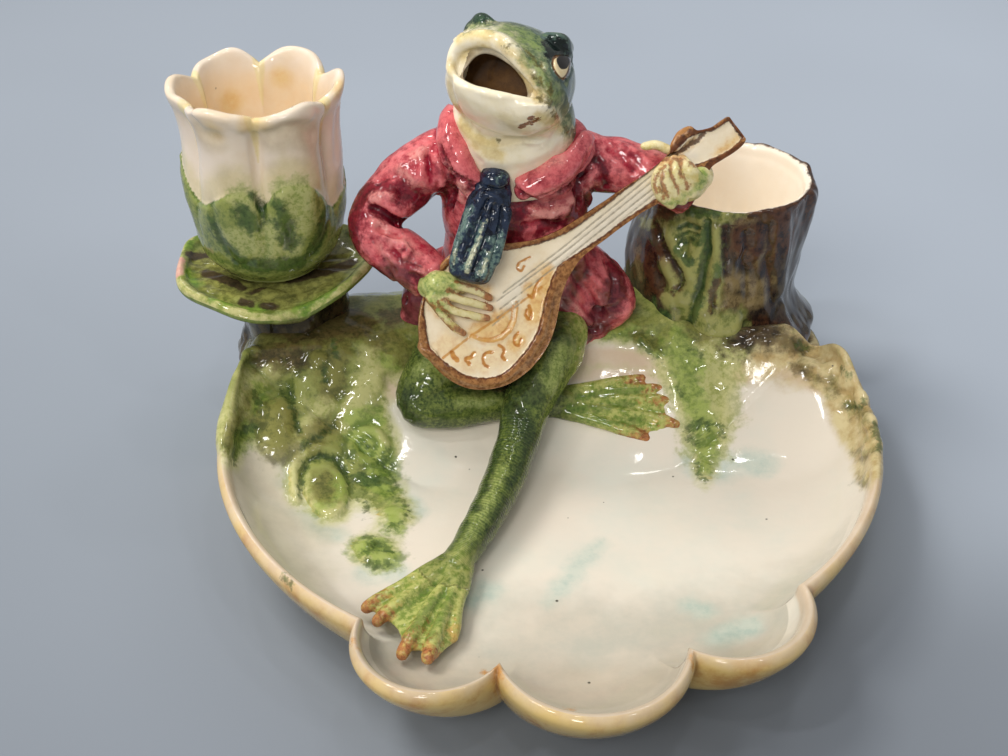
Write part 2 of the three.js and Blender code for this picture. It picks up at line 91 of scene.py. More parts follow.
def mix(start: np.ndarray, end: np.ndarray, share: np.ndarray) -> np.ndarray:
    """Returns the value that lies at share of the way from start to end."""
    return start + (end - start) * share


def lattice(cells: np.ndarray, seed: int) -> np.ndarray:
    """Returns one repeatable number from -1 to 1 for each whole-numbered cell.

    Args:
        cells: Whole numbers, three for each point.
        seed: Picks one of many independent patterns.
    """
    mixed = cells[:, 0] * 374761393 + cells[:, 1] * 668265263 + cells[:, 2] * 2147483647 + seed * 974711
    mixed = (mixed ^ (mixed >> 13)) * 1274126177 & 0x7FFFFFFF
    mixed = mixed ^ (mixed >> 16)
    return (mixed & 0xFFFF) / 32767.5 - 1.0


def noise(points: Points, size: float, seed: int = 0, octaves: int = 1) -> np.ndarray:
    """Returns smooth lumps from about -1 to 1 at each point.

    Args:
        points: Where the lumps are wanted, in millimetres.
        size: The size of one lump in millimetres.
        seed: Picks one of many independent patterns.
        octaves: How many finer patterns, each half as strong, are added.
    """
    total = np.zeros(len(points))
    strength = 1.0
    for octave in range(octaves):
        place = points / (size / 2**octave) + 31.7 * (octave + 1)
        base = np.floor(place).astype(np.int64)
        part = place - base
        part = part * part * (3.0 - 2.0 * part)
        for corner in range(8):
            step = np.array([corner & 1, corner >> 1 & 1, corner >> 2 & 1])
            weight = np.prod(np.where(step, part, 1.0 - part), axis=1)
            total += strength * weight * lattice(base + step, seed + 17 * octave)
        strength *= 0.5
    return total


def spline(points: Line, steps: int) -> np.ndarray:
    """Returns rows on a smooth curve through the given rows, whatever they hold.

    Args:
        points: The rows that the curve passes through.
        steps: How many rows are returned for each span.
    """
    rows = np.asarray(points, float)
    padded = np.vstack([2 * rows[0] - rows[1], rows, 2 * rows[-1] - rows[-2]])
    share = np.linspace(0.0, 1.0, steps, endpoint=False)[:, None]
    curve = []
    for a, b, c, d in zip(padded, padded[1:], padded[2:], padded[3:]):
        curve.append(0.5 * (
            2 * b + (c - a) * share + (2 * a - 5 * b + 4 * c - d) * share**2
            + (3 * b - a - 3 * c + d) * share**3
        ))
    return np.vstack([*curve, rows[-1:]])


def line_distance(points: Points, line: Line) -> tuple[np.ndarray, np.ndarray]:
    """Returns each point's distance to a line of points and how far along the line that is, from 0 to 1."""
    rows = np.asarray(line, float)[:, :3]
    if len(rows) == 1:
        return np.linalg.norm(points - rows[0], axis=1), np.zeros(len(points))
    best = np.full(len(points), np.inf)
    along = np.zeros(len(points))
    spans = len(rows) - 1
    for index, (start, end) in enumerate(zip(rows, rows[1:])):
        step = end - start
        share = np.clip((points - start) @ step / max(step @ step, 1e-9), 0.0, 1.0)
        gap = np.linalg.norm(points - start - share[:, None] * step, axis=1)
        nearer = gap < best
        best[nearer] = gap[nearer]
        along[nearer] = (index + share[nearer]) / spans
    return best, along


# Blender's tools


def activate(piece: bpy.types.Object) -> None:
    """Makes a piece the only selected and the active one."""
    bpy.ops.object.select_all(action="DESELECT")
    piece.select_set(True)
    bpy.context.view_layer.objects.active = piece


def apply_modifier(piece: bpy.types.Object, kind: str, **settings: object) -> None:
    """Puts one modifier on a piece and applies it.

    Args:
        piece: The object that is changed.
        kind: The modifier's type.
        settings: The modifier's own values.
    """
    activate(piece)
    modifier = piece.modifiers.new(kind.title(), kind)
    for key, value in settings.items():
        setattr(modifier, key, value)
    bpy.ops.object.modifier_apply(modifier=modifier.name)


def clean(piece: bpy.types.Object, gap: float = 1e-6) -> None:
    """Merges a mesh's doubles and turns its faces outwards."""
    activate(piece)
    bpy.ops.object.mode_set(mode="EDIT")
    bpy.ops.mesh.select_all(action="SELECT")
    bpy.ops.mesh.remove_doubles(threshold=gap)
    bpy.ops.mesh.normals_make_consistent(inside=False)
    bpy.ops.object.mode_set(mode="OBJECT")
    bpy.ops.object.shade_smooth()


def wrapped_grid(name: str, rings: np.ndarray) -> bpy.types.Object:
    """Wraps a grid round rings of points and closes it.

    Args:
        name: The new object's name.
        rings: Points in millimetres, ring by ring, the first and last rings drawn in to a point.
    """
    ring_count, around = rings.shape[:2]
    activate_none()
    bpy.ops.mesh.primitive_grid_add(x_subdivisions=around, y_subdivisions=ring_count - 1, size=1.0)
    piece = bpy.context.object
    piece.name = name
    flat = np.empty(len(piece.data.vertices) * 3, np.float32)
    piece.data.vertices.foreach_get("co", flat)
    flat = flat.reshape(-1, 3)
    turn = np.rint((flat[:, 0] + 0.5) * around).astype(int) % around
    ring = np.rint((flat[:, 1] + 0.5) * (ring_count - 1)).astype(int)
    piece.data.vertices.foreach_set("co", (rings[ring, turn] * MM).astype(np.float32).ravel())
    piece.data.update()
    clean(piece)
    return piece


def activate_none() -> None:
    """Deselects everything, so that an operator acts on nothing that is there."""
    bpy.ops.object.select_all(action="DESELECT")


def ball(centre: Sequence[float], radii: Sequence[float], turn: Matrix | None = None) -> bpy.types.Object:
    """Adds a ball, drawn out to three radii.

    Args:
        centre: Its middle in millimetres.
        radii: Its half sizes in millimetres.
        turn: How it is turned.
    """
    activate_none()
    bpy.ops.mesh.primitive_uv_sphere_add(segments=40, ring_count=24, radius=1.0)
    piece = bpy.context.object
    stretch = Matrix.Diagonal(Vector(radii) * MM).to_4x4()
    placed = Matrix.Translation(Vector(centre) * MM) @ (turn or Matrix.Identity(3)).to_4x4() @ stretch
    piece.data.transform(placed)
    return piece


def column(rows: Line, around: int = 72, steps: int = 6) -> bpy.types.Object:
    """Adds an upright oval body, each row its middle x, y and z and its two radii."""
    angle = np.linspace(0.0, 2 * math.pi, around, endpoint=False)
    rings = [
        np.column_stack([x + rx * np.cos(angle), y + ry * np.sin(angle), np.full(around, z)])
        for x, y, z, rx, ry in spline(rows, steps)
    ]
    ends = [np.tile(ring.mean(0), (around, 1)) for ring in (rings[0], rings[-1])]
    return wrapped_grid("column", np.array([ends[0], *rings, ends[1]]))


def limb(
    points: Line,
    sides: int = 28,
    steps: int = 8,
    flat: float = 1.0,
    flat_side: Sequence[float] = (0.0, 0.0, 1.0),
    blunt: float = 1.0,
) -> bpy.types.Object:
    """Adds a tube of changing thickness along a smooth line, with rounded ends.

    Args:
        points: The line, each row a point and the radius there, in millimetres.
        sides: Corners of the cross-section.
        steps: Rings for each span of the line.
        flat: The cross-section's size along flat_side, as a share of its radius.
        flat_side: The direction in which the cross-section is flattened.
        blunt: How far the ends stand out, as a share of their radius.
    """
    rows = spline(points, steps)
    middles, radii = rows[:, :3], np.maximum(rows[:, 3], 0.05)
    along = np.gradient(middles, axis=0)
    along /= np.linalg.norm(along, axis=1)[:, None]
    caps = np.linspace(-90.0, 0.0, 6)[:-1]
    rings = []

    def ring(middle: np.ndarray, direction: np.ndarray, radius: float) -> None:
        low = np.asarray(flat_side, float)
        low = low - direction * (low @ direction)
        low /= np.linalg.norm(low)
        side = np.cross(direction, low)
        angle = np.linspace(0.0, 2 * math.pi, sides, endpoint=False)[:, None]
        rings.append(middle + radius * (np.cos(angle) * side + flat * np.sin(angle) * low))

    for degrees in caps:
        share = math.radians(degrees)
        middle = middles[0] + along[0] * radii[0] * blunt * math.sin(share)
        ring(middle, along[0], radii[0] * math.cos(share))
    for middle, direction, radius in zip(middles, along, radii):
        ring(middle, direction, radius)
    for degrees in caps[::-1]:
        share = math.radians(degrees)
        middle = middles[-1] - along[-1] * radii[-1] * blunt * math.sin(share)
        ring(middle, along[-1], radii[-1] * math.cos(share))
    return wrapped_grid("limb", np.array(rings))


def fuse(name: str, pieces: Sequence[bpy.types.Object], grain: float, calm: int) -> bpy.types.Object:
    """Joins closed meshes into one skin, as clay that is worked together.

    Args:
        name: The skin's name.
        pieces: The meshes, which are used up.
        grain: The size of the skin's faces in millimetres.
        calm: How many times it is smoothed.
    """
    activate_none()
    for piece in pieces:
        piece.select_set(True)
    bpy.context.view_layer.objects.active = pieces[0]
    bpy.ops.object.join()
    skin = bpy.context.object
    skin.name = name
    skin.data.name = name
    apply_modifier(skin, "REMESH", mode="VOXEL", voxel_size=grain * MM, use_smooth_shade=True)
    if calm:
        apply_modifier(skin, "SMOOTH", factor=0.5, iterations=calm)
    return skin


@dataclass(frozen=True)
class PhotoCamera:
    """The camera that sees the object as the photograph does, which is 1008 by 756 pixels."""

    place: tuple[float, float, float] = (-56.3, -372.6, 334.6)
    pitch: float = 35.5
    yaw: float = 6.0
    lens: float = 50.0
    sensor: float = 36.0
    width: int = 1008
    height: int = 756

    @cached_property
    def turn(self) -> Matrix:
        """How the camera is turned: its columns are right, up and back."""
        yaw = Matrix.Rotation(math.radians(-self.yaw), 3, "Z")
        return yaw @ Matrix.Rotation(math.radians(90.0 - self.pitch), 3, "X")

    @property
    def focal(self) -> float:
        """The focal length in pixels."""
        return self.width * self.lens / self.sensor

    def ray(self, across: float, down: float) -> Vector:
        """Returns the direction in which the camera sees a pixel."""
        seen = Vector((across - self.width / 2, self.height / 2 - down, -self.focal))
        return (self.turn @ seen).normalized()

    def pixels(self, points: Points) -> tuple[np.ndarray, np.ndarray, np.ndarray]:
        """Returns the pixels at which points are seen, a pixel's size there and the way to the points."""
        way = points - np.array(self.place)
        seen = way @ np.array(self.turn)
        scale = -seen[:, 2] / self.focal
        across = self.width / 2 + seen[:, 0] / scale
        down = self.height / 2 - seen[:, 1] / scale
        return np.column_stack([across, down]), scale, way / np.linalg.norm(way, axis=1)[:, None]

    def make(self) -> bpy.types.Object:
        """Adds the camera and makes it the scene's."""
        activate_none()
        bpy.ops.object.camera_add(location=Vector(self.place) * MM, rotation=self.turn.to_euler())
        camera = bpy.context.object
        camera.name = "photo_camera"
        camera.data.lens = self.lens
        camera.data.sensor_width = self.sensor
        camera.data.clip_start = 0.01
        bpy.context.scene.camera = camera
        return camera


CAMERA = PhotoCamera()


class Surface:
    """The faces of a mesh, for finding places on them. Everything is in millimetres."""

    def __init__(self, piece: bpy.types.Object) -> None:
        """Reads the faces of a piece as they are now."""
        points = np.empty(len(piece.data.vertices) * 3, np.float32)
        piece.data.vertices.foreach_get("co", points)
        faces = [tuple(polygon.vertices) for polygon in piece.data.polygons]
        self.tree = BVHTree.FromPolygons((points.reshape(-1, 3) / MM).tolist(), faces)

    def seen(self, across: float, down: float) -> np.ndarray:
        """Returns the place seen at a pixel of the photograph, or the nearest one to its ray."""
        eye, way = Vector(CAMERA.place), CAMERA.ray(across, down)
        found = self.tree.ray_cast(eye, way)[0]
        if found is None:
            tries = [self.tree.find_nearest(eye + way * reach) for reach in range(300, 720, 4)]
            found = min(tries, key=lambda row: row[3])[0]
        return np.array(found)

    def line(self, pixels: Line) -> np.ndarray:
        """Returns the places seen at a line of pixels."""
        return np.array([self.seen(across, down) for across, down in pixels])


class Clay:
    """A mesh that is being modelled and painted, with its points in millimetres."""

    def __init__(self, piece: bpy.types.Object) -> None:
        """Takes up a piece."""
        self.piece = piece
        self.points = self.read("vertices", "co").reshape(-1, 3) / MM
        self.normals = self.read("vertex_normals", "vector").reshape(-1, 3)

    def read(self, rows: str, key: str) -> np.ndarray:
        """Returns one value of the mesh's rows as plain numbers."""
        source = getattr(self.piece.data, rows)
        values = np.empty(len(source) * 3, np.float32)
        source.foreach_get(key, values)
        return values.astype(float)

    def set(self) -> None:
        """Writes the points back to the mesh and measures its normals again."""
        self.piece.data.vertices.foreach_set("co", (self.points * MM).astype(np.float32).ravel())
        self.piece.data.update()
        self.normals = self.read("vertex_normals", "vector").reshape(-1, 3)

    def push(self, amounts: np.ndarray, direction: Sequence[float] | None = None) -> None:
        """Moves each point outwards, or along one direction, by its amount."""
        way = self.normals if direction is None else np.asarray(direction, float)
        self.points += amounts[:, None] * way
        self.set()

    def brush(self, line: Line, width: float) -> np.ndarray:
        """Returns how strongly a brush drawn along a line touches each point, from 0 to 1.

        Args:
            line: Places in millimetres. A fourth value of a row scales the width there.
            width: The distance at which the brush no longer touches.
        """
        rows = np.asarray(line, float)
        touch = np.zeros(len(self.points))
        low, high = rows[:, :3].min(0) - width, rows[:, :3].max(0) + width
        near = np.all((self.points > low) & (self.points < high), axis=1)
        if not near.any():
            return touch
        gap, along = line_distance(self.points[near], rows)
        reach = width
        if rows.shape[1] > 3:
            reach = width * np.interp(along, np.linspace(0.0, 1.0, len(rows)), rows[:, 3])
        touch[near] = 1.0 - smooth_step(0.0, 1.0, gap / np.maximum(reach, 1e-6))
        return touch

    def carve(
        self, surface: Surface, strokes: str, scale: float = 1.0, where: np.ndarray | float = 1.0
    ) -> None:
        """Raises ridges, or presses grooves where a height is negative, one after the other.

        Args:
            surface: The surface on which the photograph's pixels are found.
            strokes: Each stroke's width, height and pixels. Semicolons part the strokes.
            scale: Scales the heights.
            where: How much of them each point takes.
        """
        for stroke in strokes.split(";"):
            width, height, pixels = stroke.split(maxsplit=2)
            touch = self.brush(surface.line(numbers(pixels)), float(width)) * where
            self.push(touch * (scale * float(height)))

    def roughen(
        self, height: float, size: float, seed: int, where: np.ndarray | float = 1.0, octaves: int = 2
    ) -> None:
        """Raises and lowers the surface in lumps."""
        self.push(noise(self.points, size, seed, octaves) * height * where)

    def smooth(self, times: int, factor: float = 0.5) -> None:
        """Smooths the whole mesh."""
        apply_modifier(self.piece, "SMOOTH", factor=factor, iterations=times)
        self.points = self.read("vertices", "co").reshape(-1, 3) / MM
        self.normals = self.read("vertex_normals", "vector").reshape(-1, 3)

    def field(self, line: Line, radius: float) -> np.ndarray:
        """Returns how far inside a stroke of that radius each point lies, in millimetres."""
        rows = np.asarray(line, float)
        gap, along = line_distance(self.points, rows)
        if rows.shape[1] > 3:
            radius = radius * np.interp(along, np.linspace(0.0, 1.0, len(rows)), rows[:, 3])
        return radius - gap

    def paint(self, name: str, values: np.ndarray | float) -> None:
        """Stores one number for each point, for the piece's material to read."""
        layer = self.piece.data.attributes.get(name)
        if layer is None:
            layer = self.piece.data.attributes.new(name, "FLOAT", "POINT")
        layer.data.foreach_set("value", np.broadcast_to(values, len(self.points)).astype(np.float32))

    def paint_hollows(self, steps: int = 12) -> None:
        """Stores how hollow the surface is round each point: 1 in a crease, -1 on a crest."""
        mesh = self.piece.data
        edges = np.empty(len(mesh.edges) * 2, np.int32)
        mesh.edges.foreach_get("vertices", edges)
        first, second = edges.reshape(-1, 2).T
        total = len(self.points)
        count = np.bincount(first, minlength=total) + np.bincount(second, minlength=total)
        calm = self.points.copy()
        for _ in range(steps):
            total = np.zeros_like(calm)
            for axis in range(3):
                total[:, axis] += np.bincount(first, calm[second, axis], len(calm))
                total[:, axis] += np.bincount(second, calm[first, axis], len(calm))
            calm = 0.5 * calm + 0.5 * total / np.maximum(count, 1)[:, None]
        hollow = np.einsum("ij,ij->i", calm - self.points, self.normals)
        self.paint("hollow", np.clip(hollow / HOLLOW_DEPTH, -1.0, 1.0))


# Glazes


def srgb(code: str) -> tuple[float, ...]:
    """Returns a colour of the screen, six hexadecimal digits, as the linear colour that shaders use."""
    parts = [value / 255.0 for value in bytes.fromhex(code)]
    linear = [part / 12.92 if part <= 0.04045 else ((part + 0.055) / 1.055) ** 2.4 for part in parts]
    return (*linear, 1.0)


class Tree:
    """A node tree that is being wired."""

    def __init__(self, tree: bpy.types.NodeTree) -> None:
        """Takes up a tree and clears it."""
        self.tree = tree
        tree.nodes.clear()

    def add(self, kind: str, sockets: dict[str, object] | None = None, **settings: object) -> bpy.types.Node:
        """Adds a node.

        Args:
            kind: The node's type, without the words ShaderNode.
            sockets: Values or links for its inputs, by name or number.
            settings: The node's own values.
        """
        name = kind if kind.startswith("Node") else f"ShaderNode{kind}"
        made = self.tree.nodes.new(name)
        for key, value in settings.items():
            setattr(made, key, value)
        for key, value in (sockets or {}).items():
            self.feed(made.inputs[key], value)
        return made

    def feed(self, socket: bpy.types.NodeSocket, value: object) -> None:
        """Links a socket to another, or gives it a value."""
        if isinstance(value, bpy.types.NodeSocket):
            self.tree.links.new(value, socket)
        else:
            socket.default_value = value

    def math(self, operation: str, *values: object) -> bpy.types.NodeSocket:
        """Adds a Math node and returns its result."""
        return self.add("Math", dict(enumerate(values)), operation=operation).outputs[0]

    def smooth(self, value: bpy.types.NodeSocket, low: object, high: object) -> bpy.types.NodeSocket:
        """Returns a smooth step of a value between two limits."""
        made = self.add(
            "MapRange", {"Value": value, "From Min": low, "From Max": high}, interpolation_type="SMOOTHSTEP"
        )
        return made.outputs["Result"]

    def mix(self, share: object, first: object, second: object) -> bpy.types.NodeSocket:
        """Returns a mix of two colours."""
        made = self.tree.nodes.new("ShaderNodeMix")
        made.data_type = "RGBA"
        for socket, value in ((made.inputs[0], share), (made.inputs[6], first), (made.inputs[7], second)):
            self.feed(socket, value)
        return made.outputs[2]

    def noise(self, place: object, scale: object, detail: float, roughness: float) -> bpy.types.NodeSocket:
        """Returns noise, mostly from 0.3 to 0.7."""
        sockets = {"Vector": place, "Scale": scale, "Detail": detail, "Roughness": roughness}
        return self.add("TexNoise", sockets).outputs[0]


def new_group(name: str, takes: Sequence[tuple[str, str]], gives: Sequence[tuple[str, str]]) -> Tree:
    """Starts a shader node group with named sockets.

    Args:
        name: The group's name.
        takes: The name and type of each input, the type without the words NodeSocket.
        gives: The name and type of each output.
    """
    group = bpy.data.node_groups.new(name, "ShaderNodeTree")
    for side, rows in (("INPUT", takes), ("OUTPUT", gives)):
        for title, kind in rows:
            group.interface.new_socket(title, in_out=side, socket_type=f"NodeSocket{kind}")
    return Tree(group)


def coat_group() -> bpy.types.NodeTree:
    """Builds the group that lays one coat of colour over another: where its mask is above zero, broken at
    the edge, mottled, and deeper in the hollows."""
    tree = new_group(
        "glaze_coat",
        [("Under", "Color"), ("Thin", "Color"), ("Thick", "Color"), ("Mask", "Float"), ("Softness", "Float"),
         ("Breakup", "Float"), ("Grain", "Float"), ("Mottle", "Float"), ("Contrast", "Float"),
         ("Depth", "Float"), ("Hollow", "Float"), ("Pool", "Float"), ("Strength", "Float"), ("Seed", "Float"),
         ("Stretch", "Vector")],
        [("Color", "Color"), ("Coverage", "Float")],
    )
    given = tree.add("NodeGroupInput").outputs
    place = tree.add("TexCoord").outputs["Object"]
    place = tree.add("VectorMath", {0: place, 1: given["Stretch"]}, operation="MULTIPLY").outputs[0]
    place = tree.add("VectorMath", {0: place, 1: given["Seed"]}, operation="ADD").outputs[0]
    edge = tree.math("SUBTRACT", tree.noise(place, given["Grain"], 4.0, 0.62), 0.5)
    reach = tree.math("MULTIPLY_ADD", edge, tree.math("MULTIPLY", given["Breakup"], 5.0), given["Mask"])
    share = tree.smooth(tree.math("DIVIDE", reach, given["Softness"]), -0.5, 0.5)
    share = tree.math("MULTIPLY", share, given["Strength"])
    blotch = tree.math("SUBTRACT", tree.noise(place, given["Mottle"], 5.0, 0.68), 0.5)
    deep = tree.math("MULTIPLY_ADD", blotch, given["Contrast"], given["Depth"])
    deep = tree.math("MULTIPLY_ADD", given["Hollow"], given["Pool"], deep)
    deep = tree.smooth(deep, 0.0, 1.0)
    colour = tree.mix(share, given["Under"], tree.mix(deep, given["Thin"], given["Thick"]))
    tree.add("NodeGroupOutput", {"Color": colour, "Coverage": share})
    return tree.tree


def skin_group() -> bpy.types.NodeTree:
    """Builds the group for the glaze's own surface: slow ripples, small dimples, pinholes and specks."""
    tree = new_group(
        "glaze_skin",
        [("Ripple", "Float"), ("Dimple", "Float"), ("Speck Scale", "Float"), ("Speck Share", "Float"),
         ("Gloss", "Float")],
        [("Height", "Float"), ("Roughness", "Float"), ("Speck", "Float")],
    )
    given = tree.add("NodeGroupInput").outputs
    place = tree.add("TexCoord").outputs["Object"]
    slow = tree.math("MULTIPLY", tree.noise(place, 75.0, 2.0, 0.5), given["Ripple"])
    fine = tree.math("MULTIPLY", tree.noise(place, 420.0, 2.0, 0.5), given["Dimple"])
    cells = tree.add("TexVoronoi", {"Vector": place, "Scale": given["Speck Scale"]}).outputs
    chosen = tree.add("SeparateColor", {0: cells["Color"]}).outputs
    here = tree.math("LESS_THAN", chosen[0], given["Speck Share"])
    size = tree.math("MULTIPLY_ADD", chosen[1], 0.07, 0.03)
    dot = tree.smooth(cells["Distance"], tree.math("MULTIPLY", size, 1.5), tree.math("MULTIPLY", size, 0.6))
    speck = tree.math("MULTIPLY", dot, here)
    height = tree.math("ADD", slow, fine)
    height = tree.math("MULTIPLY_ADD", speck, -0.08, height)
    cloud = tree.noise(place, 130.0, 3.0, 0.6)
    rough = tree.math("MULTIPLY_ADD", tree.math("SUBTRACT", cloud, 0.5), 0.12, given["Gloss"])
    rough = tree.math("MULTIPLY_ADD", speck, 0.3, tree.math("MAXIMUM", rough, 0.03))
    tree.add("NodeGroupOutput", {"Height": height, "Roughness": rough, "Speck": speck})
    return tree.tree


class Effect(Enum):
    """The shader node groups, each built once, when it is first used."""

    COAT = "coat"
    SKIN = "skin"

    @property
    def group(self) -> bpy.types.NodeTree:
        """The group itself."""
        known = bpy.data.node_groups.get(f"glaze_{self.value}")
        return known or {Effect.COAT: coat_group, Effect.SKIN: skin_group}[self]()


@dataclass(frozen=True)
class Coat:
    """One coat of colour, brushed or sponged on under the clear glaze. Lengths are in millimetres.

    thin and thick are its colours where it is thin and where it is thick. mask names the painted mask that
    says where it lies, and offset moves its edge. grain is the size of the breaks at its edge, breakup how
    far they go, and mottle the size of its blotches. hollow says how much more gathers in hollows, and
    stretch draws the patterns out upwards.
    """

    thin: tuple[float, ...]
    thick: tuple[float, ...]
    mask: str = ""
    offset: float = 0.0
    softness: float = 2.0
    breakup: float = 1.0
    grain: float = 6.0
    mottle: float = 4.0
    contrast: float = 3.0
    depth: float = 0.5
    hollow: float = 0.0
    strength: float = 1.0
    stretch: float = 1.0

    def lay(self, tree: Tree, under: object, seed: float) -> bpy.types.NodeSocket:
        """Lays the coat in a material and returns the colour that shows."""
        node = tree.tree.nodes.new("ShaderNodeGroup")
        node.node_tree = Effect.COAT.group
        mask: object = self.offset
        if self.mask:
            read = tree.add("Attribute", attribute_name=self.mask).outputs["Fac"]
            mask = tree.math("ADD", read, self.offset)
        hollow = tree.add("Attribute", attribute_name="hollow").outputs["Fac"] if self.hollow else 0.0
        values = {
            "Under": under, "Thin": self.thin, "Thick": self.thick, "Mask": mask, "Softness": self.softness,
            "Breakup": self.breakup, "Grain": 1000.0 / self.grain, "Mottle": 1000.0 / self.mottle,
            "Contrast": self.contrast, "Depth": self.depth, "Hollow": hollow, "Pool": self.hollow,
            "Strength": self.strength, "Seed": seed, "Stretch": (1.0, 1.0, self.stretch),
        }
        for key, value in values.items():
            tree.feed(node.inputs[key], value)
        return node.outputs["Color"]


def coats(table: str) -> tuple[Coat, ...]:
    """Returns the coats of a table, whose rows hold the fields of a coat in order, and "-" for no mask."""
    rows = [line.split() for line in table.strip().splitlines()]
    return tuple(
        Coat(srgb(thin), srgb(thick), mask.strip("-"), *map(float, rest)) for thin, thick, mask, *rest in rows
    )


@dataclass(frozen=True)
class Finish:
    """The colours of a piece from the body outwards, and its glaze."""

    name: str
    ground: tuple[float, ...]
    coats: tuple[Coat, ...] = ()
    gloss: float = 0.09
    ripple: float = 0.5
    dimple: float = 0.03
    speck_size: float = 9.0
    speck_share: float = 0.05
    speck_colour: tuple[float, ...] = srgb("464238")
    matt: str = ""
    matt_colour: tuple[float, ...] | None = None
    ribs: str = ""
    rib_step: float = 1.1
    rib_height: float = 0.12

    def material(self) -> bpy.types.Material:
        """Returns the finish as a material."""
        material = bpy.data.materials.new(self.name)
        material.use_nodes = True
        tree = Tree(material.node_tree)
        colour: object = self.ground
        for index, coat in enumerate(self.coats):
            colour = coat.lay(tree, colour, SEED_STEP * (index + 1))
        skin = tree.tree.nodes.new("ShaderNodeGroup")
        skin.node_tree = Effect.SKIN.group
        values = {
            "Ripple": self.ripple, "Dimple": self.dimple, "Speck Scale": 1000.0 / self.speck_size,
            "Speck Share": self.speck_share, "Gloss": self.gloss,
        }
        for key, value in values.items():
            tree.feed(skin.inputs[key], value)
        colour = tree.mix(skin.outputs["Speck"], colour, self.speck_colour)
        roughness: object = skin.outputs["Roughness"]
        if self.matt:
            bare = tree.smooth(tree.add("Attribute", attribute_name=self.matt).outputs["Fac"], -0.3, 0.3)
            roughness = tree.math("MULTIPLY_ADD", bare, BARE_ROUGHNESS, roughness)
            colour = tree.mix(bare, colour, self.matt_colour) if self.matt_colour else colour
        height: object = skin.outputs["Height"]
        if self.ribs:
            along = tree.add("Attribute", attribute_name=self.ribs).outputs["Fac"]
            wave = tree.math("SINE", tree.math("MULTIPLY", along, 2 * math.pi / self.rib_step))
            wave = tree.math("MULTIPLY", wave, tree.smooth(along, 0.0, 2.0))
            height = tree.math("MULTIPLY_ADD", wave, self.rib_height, height)
            colour = tree.mix(tree.smooth(wave, 0.1, -0.9), colour, tree.mix(0.32, colour, FIR))
        bump = tree.add("Bump", {"Height": height, "Distance": MM, "Strength": 1.0})
        shader = tree.add("BsdfPrincipled", {
            "Base Color": colour, "Roughness": roughness, "Normal": bump.outputs[0], "IOR": GLAZE_IOR,
        })
        tree.add("OutputMaterial", {"Surface": shader.outputs[0]})
        return material

    def dress(self, piece: bpy.types.Object) -> None:
        """Puts the finish on a piece."""
        piece.data.materials.clear()
        piece.data.materials.append(self.material())


FIR = srgb("1c3618")


def finish_piece(piece: bpy.types.Object, finish: Finish) -> bpy.types.Object:
    """Dresses a piece and puts it in the frame in the casting's place."""
    finish.dress(piece)
    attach(piece, BODY)
    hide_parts(NODE)
    LOG.info("%s: %d faces", piece.name, len(piece.data.polygons))
    return piece


